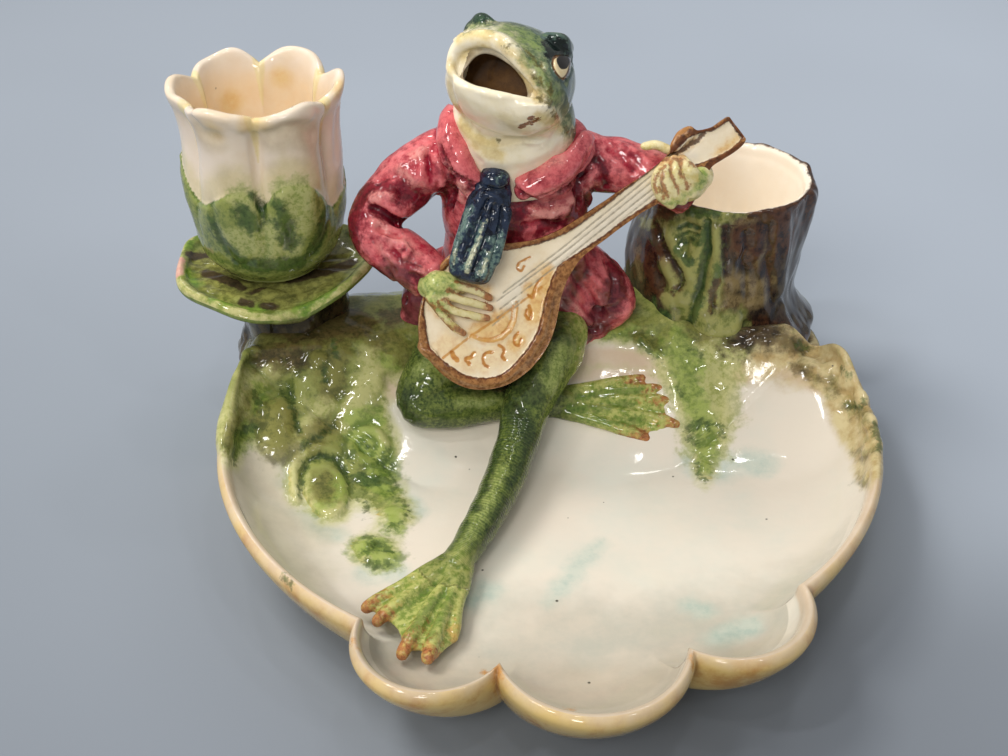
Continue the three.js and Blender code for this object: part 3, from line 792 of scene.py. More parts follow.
@dataclass
class Studio:
    """The pale floor, painted with shade, and the soft light, with small lamps that give the glaze its sharp
    lights.
    """

    floor_half: float = 3.0
    floor_colour: tuple[float, ...] = srgb("bcc8d9")
    # Painted shade on the floor: how much darker it is painted in front, at the front right and close beside
    # the dish as a painted shadow, and how much lighter it is painted towards the right
    front_fall: float = 0.6
    corner_fall: float = 0.18
    dish_fall: float = 0.06
    across_rise: float = 0.5
    sky: tuple[float, ...] = srgb("cecece")
    sky_strength: float = 0.44

    def lamp(
        self,
        name: str,
        place: Sequence[float],
        size: tuple[float, float],
        power: float,
        colour: Sequence[float],
        mirrored: bool = True, lights: bool = True,
    ) -> None:
        """Adds a rectangular lamp that looks at the ashtray.

        Args:
            name: The lamp's name.
            place: Where it stands, in metres.
            size: Its width and height in metres.
            power: Its power in watts.
            colour: The colour of its light.
            mirrored: Whether the glaze mirrors it.
            lights: Whether it lights matt colours.
        """
        activate_none()
        aim = Vector((0.0, 0.0, 0.06)) - Vector(place)
        turn = aim.to_track_quat("-Z", "Y").to_euler()
        bpy.ops.object.light_add(type="AREA", location=place, rotation=turn)
        lamp = bpy.context.object
        lamp.name = name
        lamp.data.shape = "RECTANGLE"
        lamp.data.size, lamp.data.size_y = size
        lamp.data.energy = power
        lamp.data.color = colour
        lamp.visible_glossy = mirrored
        lamp.visible_diffuse = lights

    def floor_paper(self) -> bpy.types.Material:
        """Returns the floor's colour, with painted shade: darker towards the front, most at the front right,
        with a painted shadow close round the dish and painted light rising to the right.
        """
        material = bpy.data.materials.new("floor_paper")
        material.use_nodes = True
        tree = Tree(material.node_tree)
        place = tree.add("TexCoord").outputs["Object"]
        cloud = tree.smooth(tree.noise(place, 3.0, 2.0, 0.5), 0.3, 0.7)
        darker = [part * 0.94 for part in self.floor_colour[:3]]
        colour = tree.mix(cloud, self.floor_colour, (*darker, 1.0))
        axes = tree.add("SeparateXYZ", {0: place}).outputs
        across, along = axes[0], tree.math("MULTIPLY", axes[1], -1.0)
        corner = tree.math("MULTIPLY", tree.smooth(along, 0.0, 0.08), tree.smooth(across, -0.08, 0.04))
        square = tree.math("MULTIPLY_ADD", across, across, tree.math("MULTIPLY", along, along))
        radius = tree.math("SQRT", square)
        away = tree.smooth(radius, 0.1, 0.17)
        near = tree.smooth(tree.math("MULTIPLY", radius, -1.0), -0.9, -0.4)
        front = tree.math("MULTIPLY", tree.smooth(along, -0.4, 0.7), near)
        share = tree.math("MULTIPLY_ADD", front, -self.front_fall, 0.8 - self.dish_fall)
        share = tree.math("MULTIPLY_ADD", tree.math("MULTIPLY", corner, near), -self.corner_fall, share)
        share = tree.math("MULTIPLY_ADD", away, self.dish_fall, share)
        slope = tree.math("MINIMUM", tree.math("MAXIMUM", across, -0.3), 0.3)
        share = tree.math("MULTIPLY_ADD", slope, self.across_rise, share)
        colour = tree.mix(share, (0.0, 0.0, 0.0, 1.0), colour)
        shader = tree.add("BsdfPrincipled", {"Base Color": colour, "Roughness": 0.62})
        tree.add("OutputMaterial", {"Surface": shader.outputs[0]})
        return material

    def build(self) -> None:
        """Sets up the camera, the floor and the lights."""
        CAMERA.make()
        activate_none()
        bpy.ops.mesh.primitive_plane_add(size=2 * self.floor_half, location=(0.0, 0.0, -0.0002))
        floor = bpy.context.object
        floor.name = "floor"
        floor.data.materials.append(self.floor_paper())
        world = bpy.context.scene.world or bpy.data.worlds.new("studio")
        bpy.context.scene.world = world
        world.use_nodes = True
        sky = Tree(world.node_tree)
        light = sky.add("Background", {"Color": self.sky, "Strength": self.sky_strength})
        sky.add("OutputWorld", {"Surface": light.outputs[0]})
        warm = (1.0, 0.945, 0.86)
        self.lamp("window", (-0.9, 0.6, 1.5), (0.6, 0.6), 16.8, warm, mirrored=False)
        self.lamp("front", (-0.8, -1.4, 1.45), (1.3, 0.8), 21.8, warm, mirrored=False)
        self.lamp("strip", (0.45, 0.55, 1.5), (0.24, 0.045), 1.0, (1.0, 0.98, 0.95))
        self.lamp("panel", (0.3, 0.15, 1.7), (0.1, 0.06), 0.9, (1.0, 0.98, 0.95))
        self.lamp("far_strip", (-0.5, 1.3, 1.35), (0.05, 0.4), 1.4, (1.0, 0.98, 0.95))
        self.lamp("glint", (-0.15, -0.5, 1.75), (0.16, 0.06), 1.5, (1.0, 0.98, 0.95))
        self.lamp("left_glint", (-0.85, -0.15, 1.5), (0.09, 0.3), 3.6, (1.0, 0.98, 0.95))
        self.lamp("front_glint", (-0.5, -1.35, 1.35), (0.18, 0.06), 1.1, (1.0, 0.98, 0.95))
        self.lamp("low_card", (-0.5, -1.5, 0.85), (0.3, 0.2), 4.2, (1.0, 0.98, 0.95), lights=False)
        self.lamp("left_card", (-0.95, -0.75, 1.25), (0.16, 0.26), 3.0, (1.0, 0.98, 0.95), lights=False)
        self.lamp("right_glint", (0.75, -0.9, 1.4), (0.06, 0.18), 1.1, (1.0, 0.98, 0.95))
        bpy.context.scene.view_settings.view_transform = "Standard"


@dataclass(frozen=True)
class Stroke:
    """A stroke that the photograph shows, as pixels across and down, and its half width in millimetres.

    A third value of a pixel scales the width there.
    """

    width: float
    pixels: Rows

    def on(self, surface: Surface) -> np.ndarray:
        """Returns the stroke's line on a surface, each row a place and its scale."""
        rows = surface.line([pixel[:2] for pixel in self.pixels])
        scale = [[pixel[2] if len(pixel) > 2 else 1.0] for pixel in self.pixels]
        return np.hstack([rows, scale])

    def depth(self, clay: Clay, surface: Surface) -> np.ndarray:
        """Returns how far inside the stroke each point lies, in millimetres."""
        return clay.field(self.on(surface), self.width)


@dataclass(frozen=True)
class Area:
    """A patch that the photograph shows, as the pixels of its outline. It lies only where the camera sees."""

    pixels: str
    reach: float = 12.0

    @cached_property
    def outline(self) -> np.ndarray:
        """The closed outline, drawn smoothly through its pixels."""
        rows = numbers(self.pixels)
        return spline([*rows[-2:], *rows, *rows[:2]], 5)[10:-5]

    def depth(self, clay: Clay, surface: Surface) -> np.ndarray:
        """Returns how far inside the patch each point lies, in millimetres."""
        return self.measure(clay.points, clay.normals, surface)

    def measure(self, points: Points, normals: Points, surface: Surface) -> np.ndarray:
        """Returns how far inside the patch points with those normals lie, in millimetres."""
        pixels, scale, way = CAMERA.pixels(points)
        facing = -np.einsum("ij,ij->i", way, normals)
        outline = self.outline
        margin = self.reach / scale.min()
        boxed = (pixels > outline.min(0) - margin) & (pixels < outline.max(0) + margin)
        near = np.all(boxed, axis=1) & (facing > 0)
        deep = np.full(len(points), -self.reach, float)
        where = np.flatnonzero(near)
        seen = pixels[where]
        best = np.full(len(where), np.inf)
        inside = np.zeros(len(where), bool)
        for start, end in zip(outline, np.roll(outline, -1, axis=0)):
            step = end - start
            share = np.clip((seen - start) @ step / max(step @ step, 1e-9), 0.0, 1.0)
            best = np.minimum(best, np.linalg.norm(seen - start - share[:, None] * step, axis=1))
            crosses = (start[1] > seen[:, 1]) != (end[1] > seen[:, 1])
            if abs(step[1]) > 1e-9:
                inside ^= crosses & (seen[:, 0] < start[0] + (seen[:, 1] - start[1]) * step[0] / step[1])
        signed = np.where(inside, best, -best) * scale[where]
        signed = np.minimum(np.clip(signed, -self.reach, None), 30.0 * facing[where] + 0.0)
        for index in np.flatnonzero(signed > -2.0):
            point = Vector(points[where[index]])
            eye = Vector(CAMERA.place)
            found = surface.tree.ray_cast(eye, (point - eye).normalized())
            if found[0] is not None and (point - eye).length - found[3] > 1.5:
                signed[index] = -self.reach
        deep[where] = signed
        return deep


def cover(
    clay: Clay, surface: Surface, shapes: Sequence[Stroke | Area], least: float = -40.0
) -> np.ndarray:
    """Returns how far inside any of the strokes and patches each point lies, in millimetres."""
    deep = np.full(len(clay.points), least)
    for shape in shapes:
        deep = np.maximum(deep, shape.depth(clay, surface))
    return deep


def strokes(text: str) -> tuple[Stroke, ...]:
    """Returns the strokes of a text, each its width and its pixels. Semicolons part the strokes."""
    parts = [part.split(maxsplit=1) for part in text.split(";")]
    return tuple(Stroke(float(width), numbers(pixels)) for width, pixels in parts)


def daub(clay: Clay, surface: Surface, **masks: str) -> None:
    """Paints each named mask with its strokes."""
    for name, text in masks.items():
        clay.paint(name, cover(clay, surface, strokes(text)))


class Piece:
    """A piece of the ashtray, which is shaped, carved, painted and glazed in that order."""

    def build(self) -> bpy.types.Object:
        """Builds and glazes the piece."""
        clay = Clay(self.shape())
        self.carve(clay)
        self.paint(clay)
        return finish_piece(clay.piece, self.finish)


# The dish and its bank


@dataclass
class Dish(Piece):
    """The scalloped dish with the mossy bank behind it, in one body of rings about an upright line."""

    centre_y: float = -14.0
    floor: float = 9.6
    basin_back: float = 64.0
    back_curve: float = 0.0006
    steepest: float = 0.55
    bank_from: float = 8.0
    bank_to: float = 62.0
    bank_least: float = 6.0
    # The foot of the tree stump, where the bark's brown runs over the bank
    stump_x: float = 76.0
    stump_y: float = 92.0
    step: float = 1.35
    calm_reach: float = 92.0
    # Where each lobe of the outline starts, anticlockwise, and how far it bulges beyond its chord
    lobes: Rows = numbers("""
        -29,-94.3,22 29,-94.3,15.5 70,-71,23 112,62,33 52,122,7 -60,114,25 -108.5,62,22.5 -70,-71,19
    """)
    # Rings from the foot over the lip to the floor: inset in front, height, calm, share of the bank's width,
    # inset behind, height behind
    rings: Rows = numbers("""
        27,0,.6,0,6,0 19,5,.45,0,2,6 8.6,13,.25,0,1,15 2.2,22,.1,0,2.5,25 -.7,28.8,0,.14,1,35
        .9,32,0,.42,0,44 3.4,31,0,.82,0,45 6.2,25,.15,1,0,38 13.5,17,.4,1,9,30 24,12.2,.7,1,21,21.5
        31,10.9,.86,1,30,15.6 37,10.1,.95,1,38,11.8 43,9.7,1,1,44,10 49,9.6,1,1,48,9.6
    """)
    # How many rings are drawn for each span between those
    ring_steps: tuple[int, ...] = (3, 4, 5, 6, 13, 18, 15, 13, 13, 7, 6, 5, 4)
    floor_rings: int = 18

    def outline(self) -> np.ndarray:
        """Returns the outline as rows of x and y, in even steps."""
        rows = []
        for start, end in zip(self.lobes, (*self.lobes[1:], self.lobes[0])):
            first, last, bulge = np.array(start[:2]), np.array(end[:2]), start[2]
            chord = np.linalg.norm(last - first)
            along = (last - first) / chord
            out = np.array([along[1], -along[0]])
            radius = (chord**2 / 4 + bulge**2) / (2 * bulge)
            span = math.atan2(chord / 2, radius - bulge)
            steps = round(2 * span * radius / self.step)
            for angle in np.linspace(-span, span, steps, endpoint=False):
                up = radius * math.cos(angle) - (radius - bulge)
                rows.append((first + last) / 2 + out * up + along * radius * math.sin(angle))
        return np.array(rows)

    def shape(self) -> bpy.types.Object:
        """Returns the plain dish."""
        outline = self.outline()
        middle = np.array([0.0, self.centre_y])
        radii = np.linalg.norm(outline - middle, axis=1)
        way = (outline - middle) / radii[:, None]
        reach = round(self.calm_reach / self.step)
        padded = np.concatenate([radii[-reach:], radii, radii[:reach]])
        calm = np.convolve(padded, np.ones(2 * reach + 1) / (2 * reach + 1), "valid")
        behind = smooth_step(self.bank_from, self.bank_to, outline[:, 1])
        sine = np.maximum(way[:, 1], 1e-3)
        back = self.basin_back - self.back_curve * (radii * way[:, 0]) ** 2 - self.centre_y
        width = np.maximum(np.where(way[:, 1] > 0, radii - back / sine, 0.0), self.bank_least)
        rows = np.array(self.rings)
        curve = spline(rows, 100)
        at = [index * 100 + 100 * np.arange(steps) // steps for index, steps in enumerate(self.ring_steps)]
        chosen = (*np.concatenate(at), len(curve) - 1)
        drawn = [self.ring(curve[k], radii, calm, way, behind, width) for k in chosen]
        foot = [self.shrink(drawn[0], share) for share in (0.0, 0.5, 0.9)]
        floor = [self.shrink(drawn[-1], 1 - share) for share in np.linspace(0, 1, self.floor_rings + 1)[1:]]
        return wrapped_grid("dish", np.array([*foot, *drawn, *floor]))

    def ring(
        self, row: np.ndarray, radii: np.ndarray, calm: np.ndarray, way: np.ndarray, behind: np.ndarray,
        width: np.ndarray,
    ) -> np.ndarray:
        """Returns the points of one ring.

        Args:
            row: The ring's measures, as in rings.
            radii: The outline's distance from the middle.
            calm: The same with the lobes smoothed away.
            way: The direction of each outline point from the middle.
            behind: How far each point belongs to the bank.
            width: The bank's width at each point.
        """
        inset, height, calmness, across, into, bank_height = row
        front = mix(radii, calm, calmness) - inset
        gap = way[:, 1] - self.steepest
        slope = self.steepest + (gap + np.sqrt(gap**2 + 0.03)) / 2
        rear = radii - across * width - into / slope
        radius = mix(front, rear, behind)
        up = mix(height, bank_height, behind)
        return np.column_stack([radius * way[:, 0], self.centre_y + radius * way[:, 1], np.maximum(up, 0.0)])

    def shrink(self, ring: np.ndarray, share: float) -> np.ndarray:
        """Returns a ring drawn in towards the middle, at the same height."""
        middle = np.array([0.0, self.centre_y, 0.0])
        return middle * [1, 1, 0] + (ring - middle) * [share, share, 1]

    # What the photograph shows of the bank, as outlines of its mossy, sandy and brown parts
    moss_left: tuple[Area, ...] = (
        Area("""
            236,300 420,290 416,345 408,354 402,366 393,370 386,376 386,390 388,404 390,418 393,430 397,444
            396,457 393,468 396,478 401,488 406,496 409,507 408,518 403,528 396,533 388,530 384,521 380,512
            372,508 364,505 355,503 348,508 342,515 333,520 322,517 312,507 304,497 300,488 299,498 295,500
            292,490 291,476 292,463 296,453 301,447 291,450 280,454 268,453 259,447 250,442 243,448 238,460
            230,467 223,458 215,440 215,420 224,404 232,390 236,376 240,360 240,340 240,320
        """, 20),
        Area("""
            353,549 358,540 366,535 374,534 385,537 393,540 397,550 397,559 390,564 380,567 369,564 359,558
        """),
    )
    moss_right: tuple[Area, ...] = (
        Area("""
            598,325 604,340 622,342 641,341 648,350 656,357 664,362 664,375 670,384 675,397 681,410 687,422
            690,436 693,447 696,458 697,470 701,479 707,484 711,474 713,460 718,449 725,441 728,428 728,412
            729,395 730,375 734,360 748,352 752,330 700,318 640,312
        """, 20),
    )
    bank_right: Area = Area("""
        742,348 756,352 770,357 789,368 806,379 820,393 829,408 834,424 842,436 848,448 854,462 858,476
        866,485 876,480 886,470 892,450 888,425 876,398 862,378 842,354 826,336 800,316 745,312
    """, 20)
    clean: Area = Area("566,338 600,339 636,343 650,353 662,364 672,380 640,374 600,372 570,368", 8)
    grass: tuple[Stroke, ...] = strokes("""
        6 682,340 686,366 690,392; 5 696,404 704,424 706,446 705,466,.6; 6 364,438 376,452 386,472; 4
        372,484 390,492; 4 394,508 396,526; 6 364,544 378,550 388,558; 4 262,392 258,406; 4 246,430 236,448;
        4 352,420 376,418; 4 610,330 640,336 664,350; 3 322,506 336,496 338,480; 4 390,360 404,344
    """)
    turquoise: tuple[Stroke, ...] = strokes("""
        3.5 290,462 289,480; 4 306,512 320,530 334,534; 2.6 411,502 415,512; 3 396,492 400,500; 4 368,573
        396,572; 4 722,474 731,462; 5 750,462 760,463; 2.6 689,455 690,470; 5 722,638 748,628; 3 690,606
        704,612; 2.6 548,604,.6 572,574 598,546,.7; 4 474,600 486,590
    """)
    # The first olive stroke, just under the leaf, is olive moss darkened as the painted shadow of the leaf
    olive: tuple[Stroke, ...] = strokes("""
        9 262,340 290,352 330,348; 8 276,415 276,434 282,444; 6 330,365 332,385; 7 366,330 390,340 406,350;
        4 324,480 326,496; 5 312,440 326,428; 6 700,330 720,330 740,334; 3 640,335 655,345; 1.6 800,366
        816,376 836,392; 1.6 846,404 862,410 868,424; 1.4 856,450 866,456 874,452; 1.4 858,476 866,484; 3
        250,396 240,420 228,440
    """)
    # The second, broad brown stroke, just under the leaf, is brown moss darkened as the painted shadow of the
    # leaf
    brown: tuple[Stroke, ...] = strokes("""
        4.5 748,336 772,340 800,346,.8; 9 262,322 300,330 350,322; 5 392,316 410,312; 4 262,360 280,350
        296,356; 1.4 796,366 806,372
    """)
    # Lighter moss on the bank's ridges, partly painted highlight where the ridges catch the light
    light: tuple[Stroke, ...] = strokes("""
        6 246,380 238,404 228,428; 4 268,366 284,372 262,384; 5 330,405 318,412 310,430; 6 372,362 386,356
        396,360; 6 365,385 360,402 350,412; 2.5 296,456 294,480 296,496; 3 375,437 386,448 382,458; 3
        314,500 326,512 340,508; 2.4 388,508 400,506 404,516; 7 722,352 724,380 722,410; 5 668,362 672,382;
        6 680,350 700,346 730,347; 3 708,456 704,470; 9 688,362 694,392 702,420 704,446; 3 388,547 382,556
    """)
    dark: tuple[Stroke, ...] = strokes("""
        1.7 304,472,.4 310,461,.5 322,456,.8 336,461 344,472 348,482,.5; 1.2 303,466 302,480 299,496,.7; 1.4
        290,388 292,408 298,430,.7; 2.4 359,478 370,480 386,480; 1.5 352,450 354,455 350,458; 1.2 387,450
        382,459 372,463; 1.4 367,446 368,447; 1 388,461 393,466 388,471 384,466; 1.2 392,478 397,486
        391,491; 1.6 390,527 397,526 400,521,.6; 1.2 398,500 406,506 407,518; .8 366,502 367,512 366,521,.6;
        1.6 368,536 374,543 366,552; 1.5 382,547 390,551; 1.4 366,562 378,566 388,564; 1.5 234,436 245,430
        256,428,.6; 1 302,446 318,436 334,424; 1.7 691,428 698,423 707,425; 1.1 690,432 690,440 696,444; 1
        718,424 723,430 720,438; 1.2 698,464 700,474 704,480; 1.2 640,341 649,350 660,360,.6; 1 676,388
        682,396; 1.4 848,405 858,407 864,402; 1.8 876,426 880,440 880,450,.6; 1 842,368 848,376; 1.2 796,344
        808,348; .9 284,577 291,585; 1.4 254,392 258,404; 1.9 236,446 234,462,.6; 1 326,366 324,380; 1.1
        282,384 284,396; .9 334,340 336,356; 1 690,350 700,356
    """)
    # Round lumps of the relief: the pixel at each middle, its radius and height in millimetres, and its dent
    lumps: Rows = numbers("""
        388,484,3.4,1.2,.7 372,472,3,.9,.4 388,466,2.4,.8,.6 356,462,3.4,.9,.5 356,492,3,.7,.3
        373,492,2.8,.8,.4 396,514,4.2,1.5,.8 391,528,2.6,.9,.3 364,546,3.4,1.2,.4 377,541,2.8,1.1,.3
        390,547,3,1.2,.5 371,557,3,1.1,.3 385,557,3.2,1.2,.4 700,432,3.6,1.1,.6 713,428,2.8,.8,.4
        720,432,2.6,.8,.5 704,452,3,1,.5 703,470,3,1.3,.4 810,362,5.5,1.3,0 828,368,4.5,1.1,0
        846,380,5,1.3,0 860,398,4.6,1.2,0 868,420,4.2,1,0 866,450,3.6,1,0 782,345,6,1.4,0 760,340,6,1.2,0
        842,402,4,.9,0 866,478,3.4,.7,0 250,352,5,1.2,0 276,368,5,1,0 292,366,3.6,.8,0 318,360,4,.8,0
    """)

    def carve(self, clay: Clay) -> None:
        """Works the moss and rocks of the bank and the low carving in the basin."""
        surface = Surface(clay.piece)
        moss = cover(clay, surface, (*self.moss_left, *self.moss_right, self.bank_right))
        bank = smooth_step(34.0, 42.0, clay.points[:, 2]) * smooth_step(0.0, 20.0, clay.points[:, 1])
        outside = smooth_step(6.0, 14.0, clay.points[:, 2]) * self.behind_wall(clay)
        rough = np.maximum(np.maximum(smooth_step(-2.0, 4.0, moss), bank), 0.8 * outside)
        clay.roughen(1.1, 16.0, 3, rough, 2)
        clay.roughen(0.22, 4.5, 11, rough, 2)
        clay.roughen(0.3, 40.0, 5, 1.0 - rough, 1)
        self.carve_forms(clay, Surface(clay.piece))
        for area in (*self.moss_left[:2], *self.moss_right):
            clay.push(0.35 * smooth_step(-0.4, 1.6, area.depth(clay, surface)) * (1.0 - bank))
        sooner = 13.0 * smooth_step(96.0, 108.0, clay.points[:, 0])
        low = smooth_step(52.0, 84.0, clay.points[:, 1] + sooner) * smooth_step(50.0, 78.0, clay.points[:, 0])
        clay.points[:, 1] -= 6.0 * low * smooth_step(12.0, 28.0, clay.points[:, 2])
        clay.points[:, 2] -= 17.0 * low * smooth_step(20.0, 43.0, clay.points[:, 2])
        clay.points[:, 2] = np.maximum(clay.points[:, 2], 0.0)
        clay.set()

    def behind_wall(self, clay: Clay) -> np.ndarray:
        """Returns which points lie on the outer wall behind, from 0 to 1."""
        out = clay.points[:, :2] - [0.0, self.centre_y]
        outward = np.einsum("ij,ij->i", clay.normals[:, :2], out) / np.linalg.norm(out, axis=1).clip(1e-6)
        return smooth_step(0.1, 0.5, outward) * smooth_step(30.0, 70.0, clay.points[:, 1])

    def carve_forms(self, clay: Clay, surface: Surface) -> None:
        """Raises the rocks, the leaf, the flower and the curls on the basin's walls."""
        clay.carve(surface, """
            8 1.8 226,436 236,408 246,384 264,368; 9 2 322,368 304,392 292,420 280,444; 9 1.6 276,410
            274,430 280,446; 4 -1.6 290,386 292,408 298,432; 5 -1 282,382 270,400 262,424; 7 1.5 345,360
            326,398 312,420 300,444; 4 -1.2 324,370 328,388 338,397; 8 1.2 368,350 362,390 350,420; 7 1.4
            395,352 388,366 378,376; 2.6 -.9 303,450 318,438 336,426
        """)
        leaf = Area("""
            303,482 305,496 312,507 322,517 333,520 342,515 347,505 348,492 345,480 337,470 326,464 314,466
            306,473
        """)
        clay.push(1.9 * smooth_step(-0.5, 1.3, leaf.depth(clay, surface)))
        clay.carve(surface, """
            2 -.5 324,474 325,492 328,508; 2.4 -1.1 301,474 308,460 322,454 336,459 346,473; 2.6 1.2 300,466
            304,455 318,448 334,450; 2.4 1.5 296,454 293,470 294,486 297,500
        """)
        flower = surface.seen(368, 447)
        gap = np.linalg.norm(clay.points - flower, axis=1)
        clay.push(1.6 * smooth_step(8.2, 6.6, gap) - 1.1 * np.exp(-((gap - 3.4) / 1.3) ** 2))
        clay.push(-1.2 * np.exp(-((gap / 1.3) ** 2)))
        for x, y, size, height, dent in self.lumps:
            gap = np.linalg.norm(clay.points - surface.seen(x, y), axis=1)
            pressed = dent * np.exp(-((gap - 0.4 * size) / 0.7) ** 2)
            clay.push(height * smooth_step(size, size * 0.45, gap) - pressed)
        clay.carve(surface, """
            8 1.2 672,345 676,380 686,412; 8 1 712,345 706,380 704,412; 6 .6 735,350 728,380 726,420; 2.4 .7
            692,424 692,440 697,462 703,482; 3 .8 640,341 650,352 662,362; 4 .5 790,364 812,380 828,400
            838,426
        """)

    def paint(self, clay: Clay) -> None:
        """Paints the masks that the dish's glazes follow."""
        surface = Surface(clay.piece)
        points = clay.points
        clay.paint_hollows(8)
        shown = cover(clay, surface, (*self.moss_left, *self.moss_right))
        bank = (points[:, 2] - 36.0) * 0.8 + np.minimum(points[:, 1] - 30.0, 8.0) * 0.3
        outward = self.behind_wall(clay)
        bank = np.where(points[:, 1] > 24.0, bank, -20.0)
        right = self.bank_right.depth(clay, surface)
        bank = np.minimum(np.maximum(bank, 24.0 * outward - 9.0), 12.0)
        side = (points[:, 0] - 62.0) * 0.6
        moss = np.maximum(shown, np.minimum(np.minimum(bank, -side), -right))
        clay.paint("moss", np.minimum(moss, -self.clean.depth(clay, surface)))
        foot = np.linalg.norm(points[:, :2] - [self.stump_x, self.stump_y], axis=1)
        clay.paint("root", np.minimum(40.0 - foot, (points[:, 0] - 74.0) * 0.5))
        clay.paint("earth", np.maximum(right, np.minimum(bank + 3.0, side)))
        for name in ("olive", "brown", "light", "grass", "dark", "turquoise"):
            least = 14.0 * outward - 10.0 if name == "olive" else -40.0
            clay.paint(name, np.maximum(cover(clay, surface, getattr(self, name)), least))
        out = points[:, :2] - [0.0, self.centre_y]
        facing = np.einsum("ij,ij->i", clay.normals[:, :2], out) / np.linalg.norm(out, axis=1).clip(1e-6)
        # Painted shade on the basin's inner wall on the left, from 10 to 26 mm up
        wall = np.minimum(np.minimum(points[:, 2] - 10.0, 26.0 - points[:, 2]), -20.0 * facing)
        clay.paint("wall", np.minimum(wall, (-78.0 - points[:, 0]) * 0.4))
        # Painted shade: the dish painted darker towards its front, lip and outer wall included
        clay.paint("front", (-76.0 - points[:, 1]) * 0.4)
        outer = np.where(facing > 0.2, 30.5 - points[:, 2], -6.0)
        clay.paint("outer", np.where(points[:, 2] > 34.0, -6.0, outer))
        crest = 5.0 - np.abs(points[:, 2] - 31.5) * 1.2
        clay.paint("lip", np.where(points[:, 2] > 40.0, -10.0, crest))
        # Painted shade: the basin is painted darker towards its front, below the lip
        clay.paint("pool", np.where(points[:, 2] < 22.0, (-58.0 - points[:, 1]) * 0.3, -10.0))
        clay.paint("bare", np.where(clay.normals[:, 2] < -0.85, 0.8 - points[:, 2], -2.0))
        daub(
            clay, surface,
            chip=".9 326,636 331,638; .7 338,641 342,641.5; .5 349,642.5 351,643",
            stain="""
                1.6 484,672,.5 494,668 499,674 497,690,.6; .6 567,709 571,710; .9 352,640 360,650,.6; .5
                690,655 693,668
            """,
        )

    finish: Finish = Finish(
        "dish_glaze", srgb("e6ded1"),
        coats("""
            e2e0d5 d0d9d0 -         -.6  5   3   45  30  3   .5  0  .5
            cac1b2 b2b2a6 pool      3.5  11  3   30  18  2   .5  .3 .85
            bacec4 88b4ae turquoise .5   7   1.6 9   5   3   .35 .4 .5
            c4bca2 aca68a wall      0    8   2   20  12  2.4 .45 .4 .55
            e0d0bc d0b89c lip       0    3   .6  12  20  2   .6  0  .85
            beb09a ac9e8a front     0    8   2   20  12  2.4 .45 .4 .5
            dcbe74 c08e42 outer     .6   7   1.6 20  12  3.4 .35 .5 .95
            d0c294 b29a66 earth     1    5   1.6 8   6   3   .4  .4 .95
            b09866 806a42 earth     -8   5   5   4.5 2.6 3.6 .4  .9 .38
            a0a064 707640 earth     -9.5 5   6   6   2.4 3.6 .4  .9 .4
            d0cea2 bcbe82 moss      1.6  5   1.6 7   5   3   .5  .3 .85
            a4a862 74803e moss      -1.2 3   1.6 3   3   4   .45 .8 .92
            7c8644 4c5c2c moss      -3.8 4   4.2 3   1.8 4.5 .35 .9 .62
            c6c48a 9ca25e light     .6   6   3.2 4   2   4   .4  .8 .7
            92a650 5c7830 grass     0    5   2.8 4   2.2 4   .45 .8 .74
            78743e 484624 olive     0    5   2.6 4   2.2 4   .45 .9 .7
            645234 362c1c brown     0    5   2.8 4   2.2 4   .5  .8 .78
            4c3c2c 241c18 root      0    5   3   5   2.2 4   .5  .7 .9
            486232 283e20 dark      0    2   1.4 2   1.8 3   .5  .5 .72
            ce984e ac7436 stain     0    2.4 1.2 2.4 2   3   .5  .5 .85
            d6be9e 785a3e chip      0    .4  .2  2   1.5
        """),
        ripple=0.35, matt="bare", matt_colour=srgb("d6be9e"), speck_size=4.6, speck_share=0.05,
    )


# The flower cup on its lily pad


def turned_rings(profile: Line, steps: int, around: int, shape: Callable[..., tuple]) -> np.ndarray:
    """Returns rings of points about an upright line.

    Args:
        profile: Rows of height and radius, from the foot over the rim to the floor inside.
        steps: Rings for each span of the profile.
        around: Points of each ring.
        shape: Takes the heights, radii, angles and share of the profile, and returns x, y and z.
    """
    rows = spline(profile, steps)
    share = np.linspace(0.0, 1.0, len(rows))[:, None] * np.ones((1, around))
    angle = np.linspace(0.0, 2 * math.pi, around, endpoint=False)[None, :] * np.ones((len(rows), 1))
    return np.stack(shape(rows[:, :1], np.maximum(rows[:, 1:2], 0.0), angle, share), axis=-1)


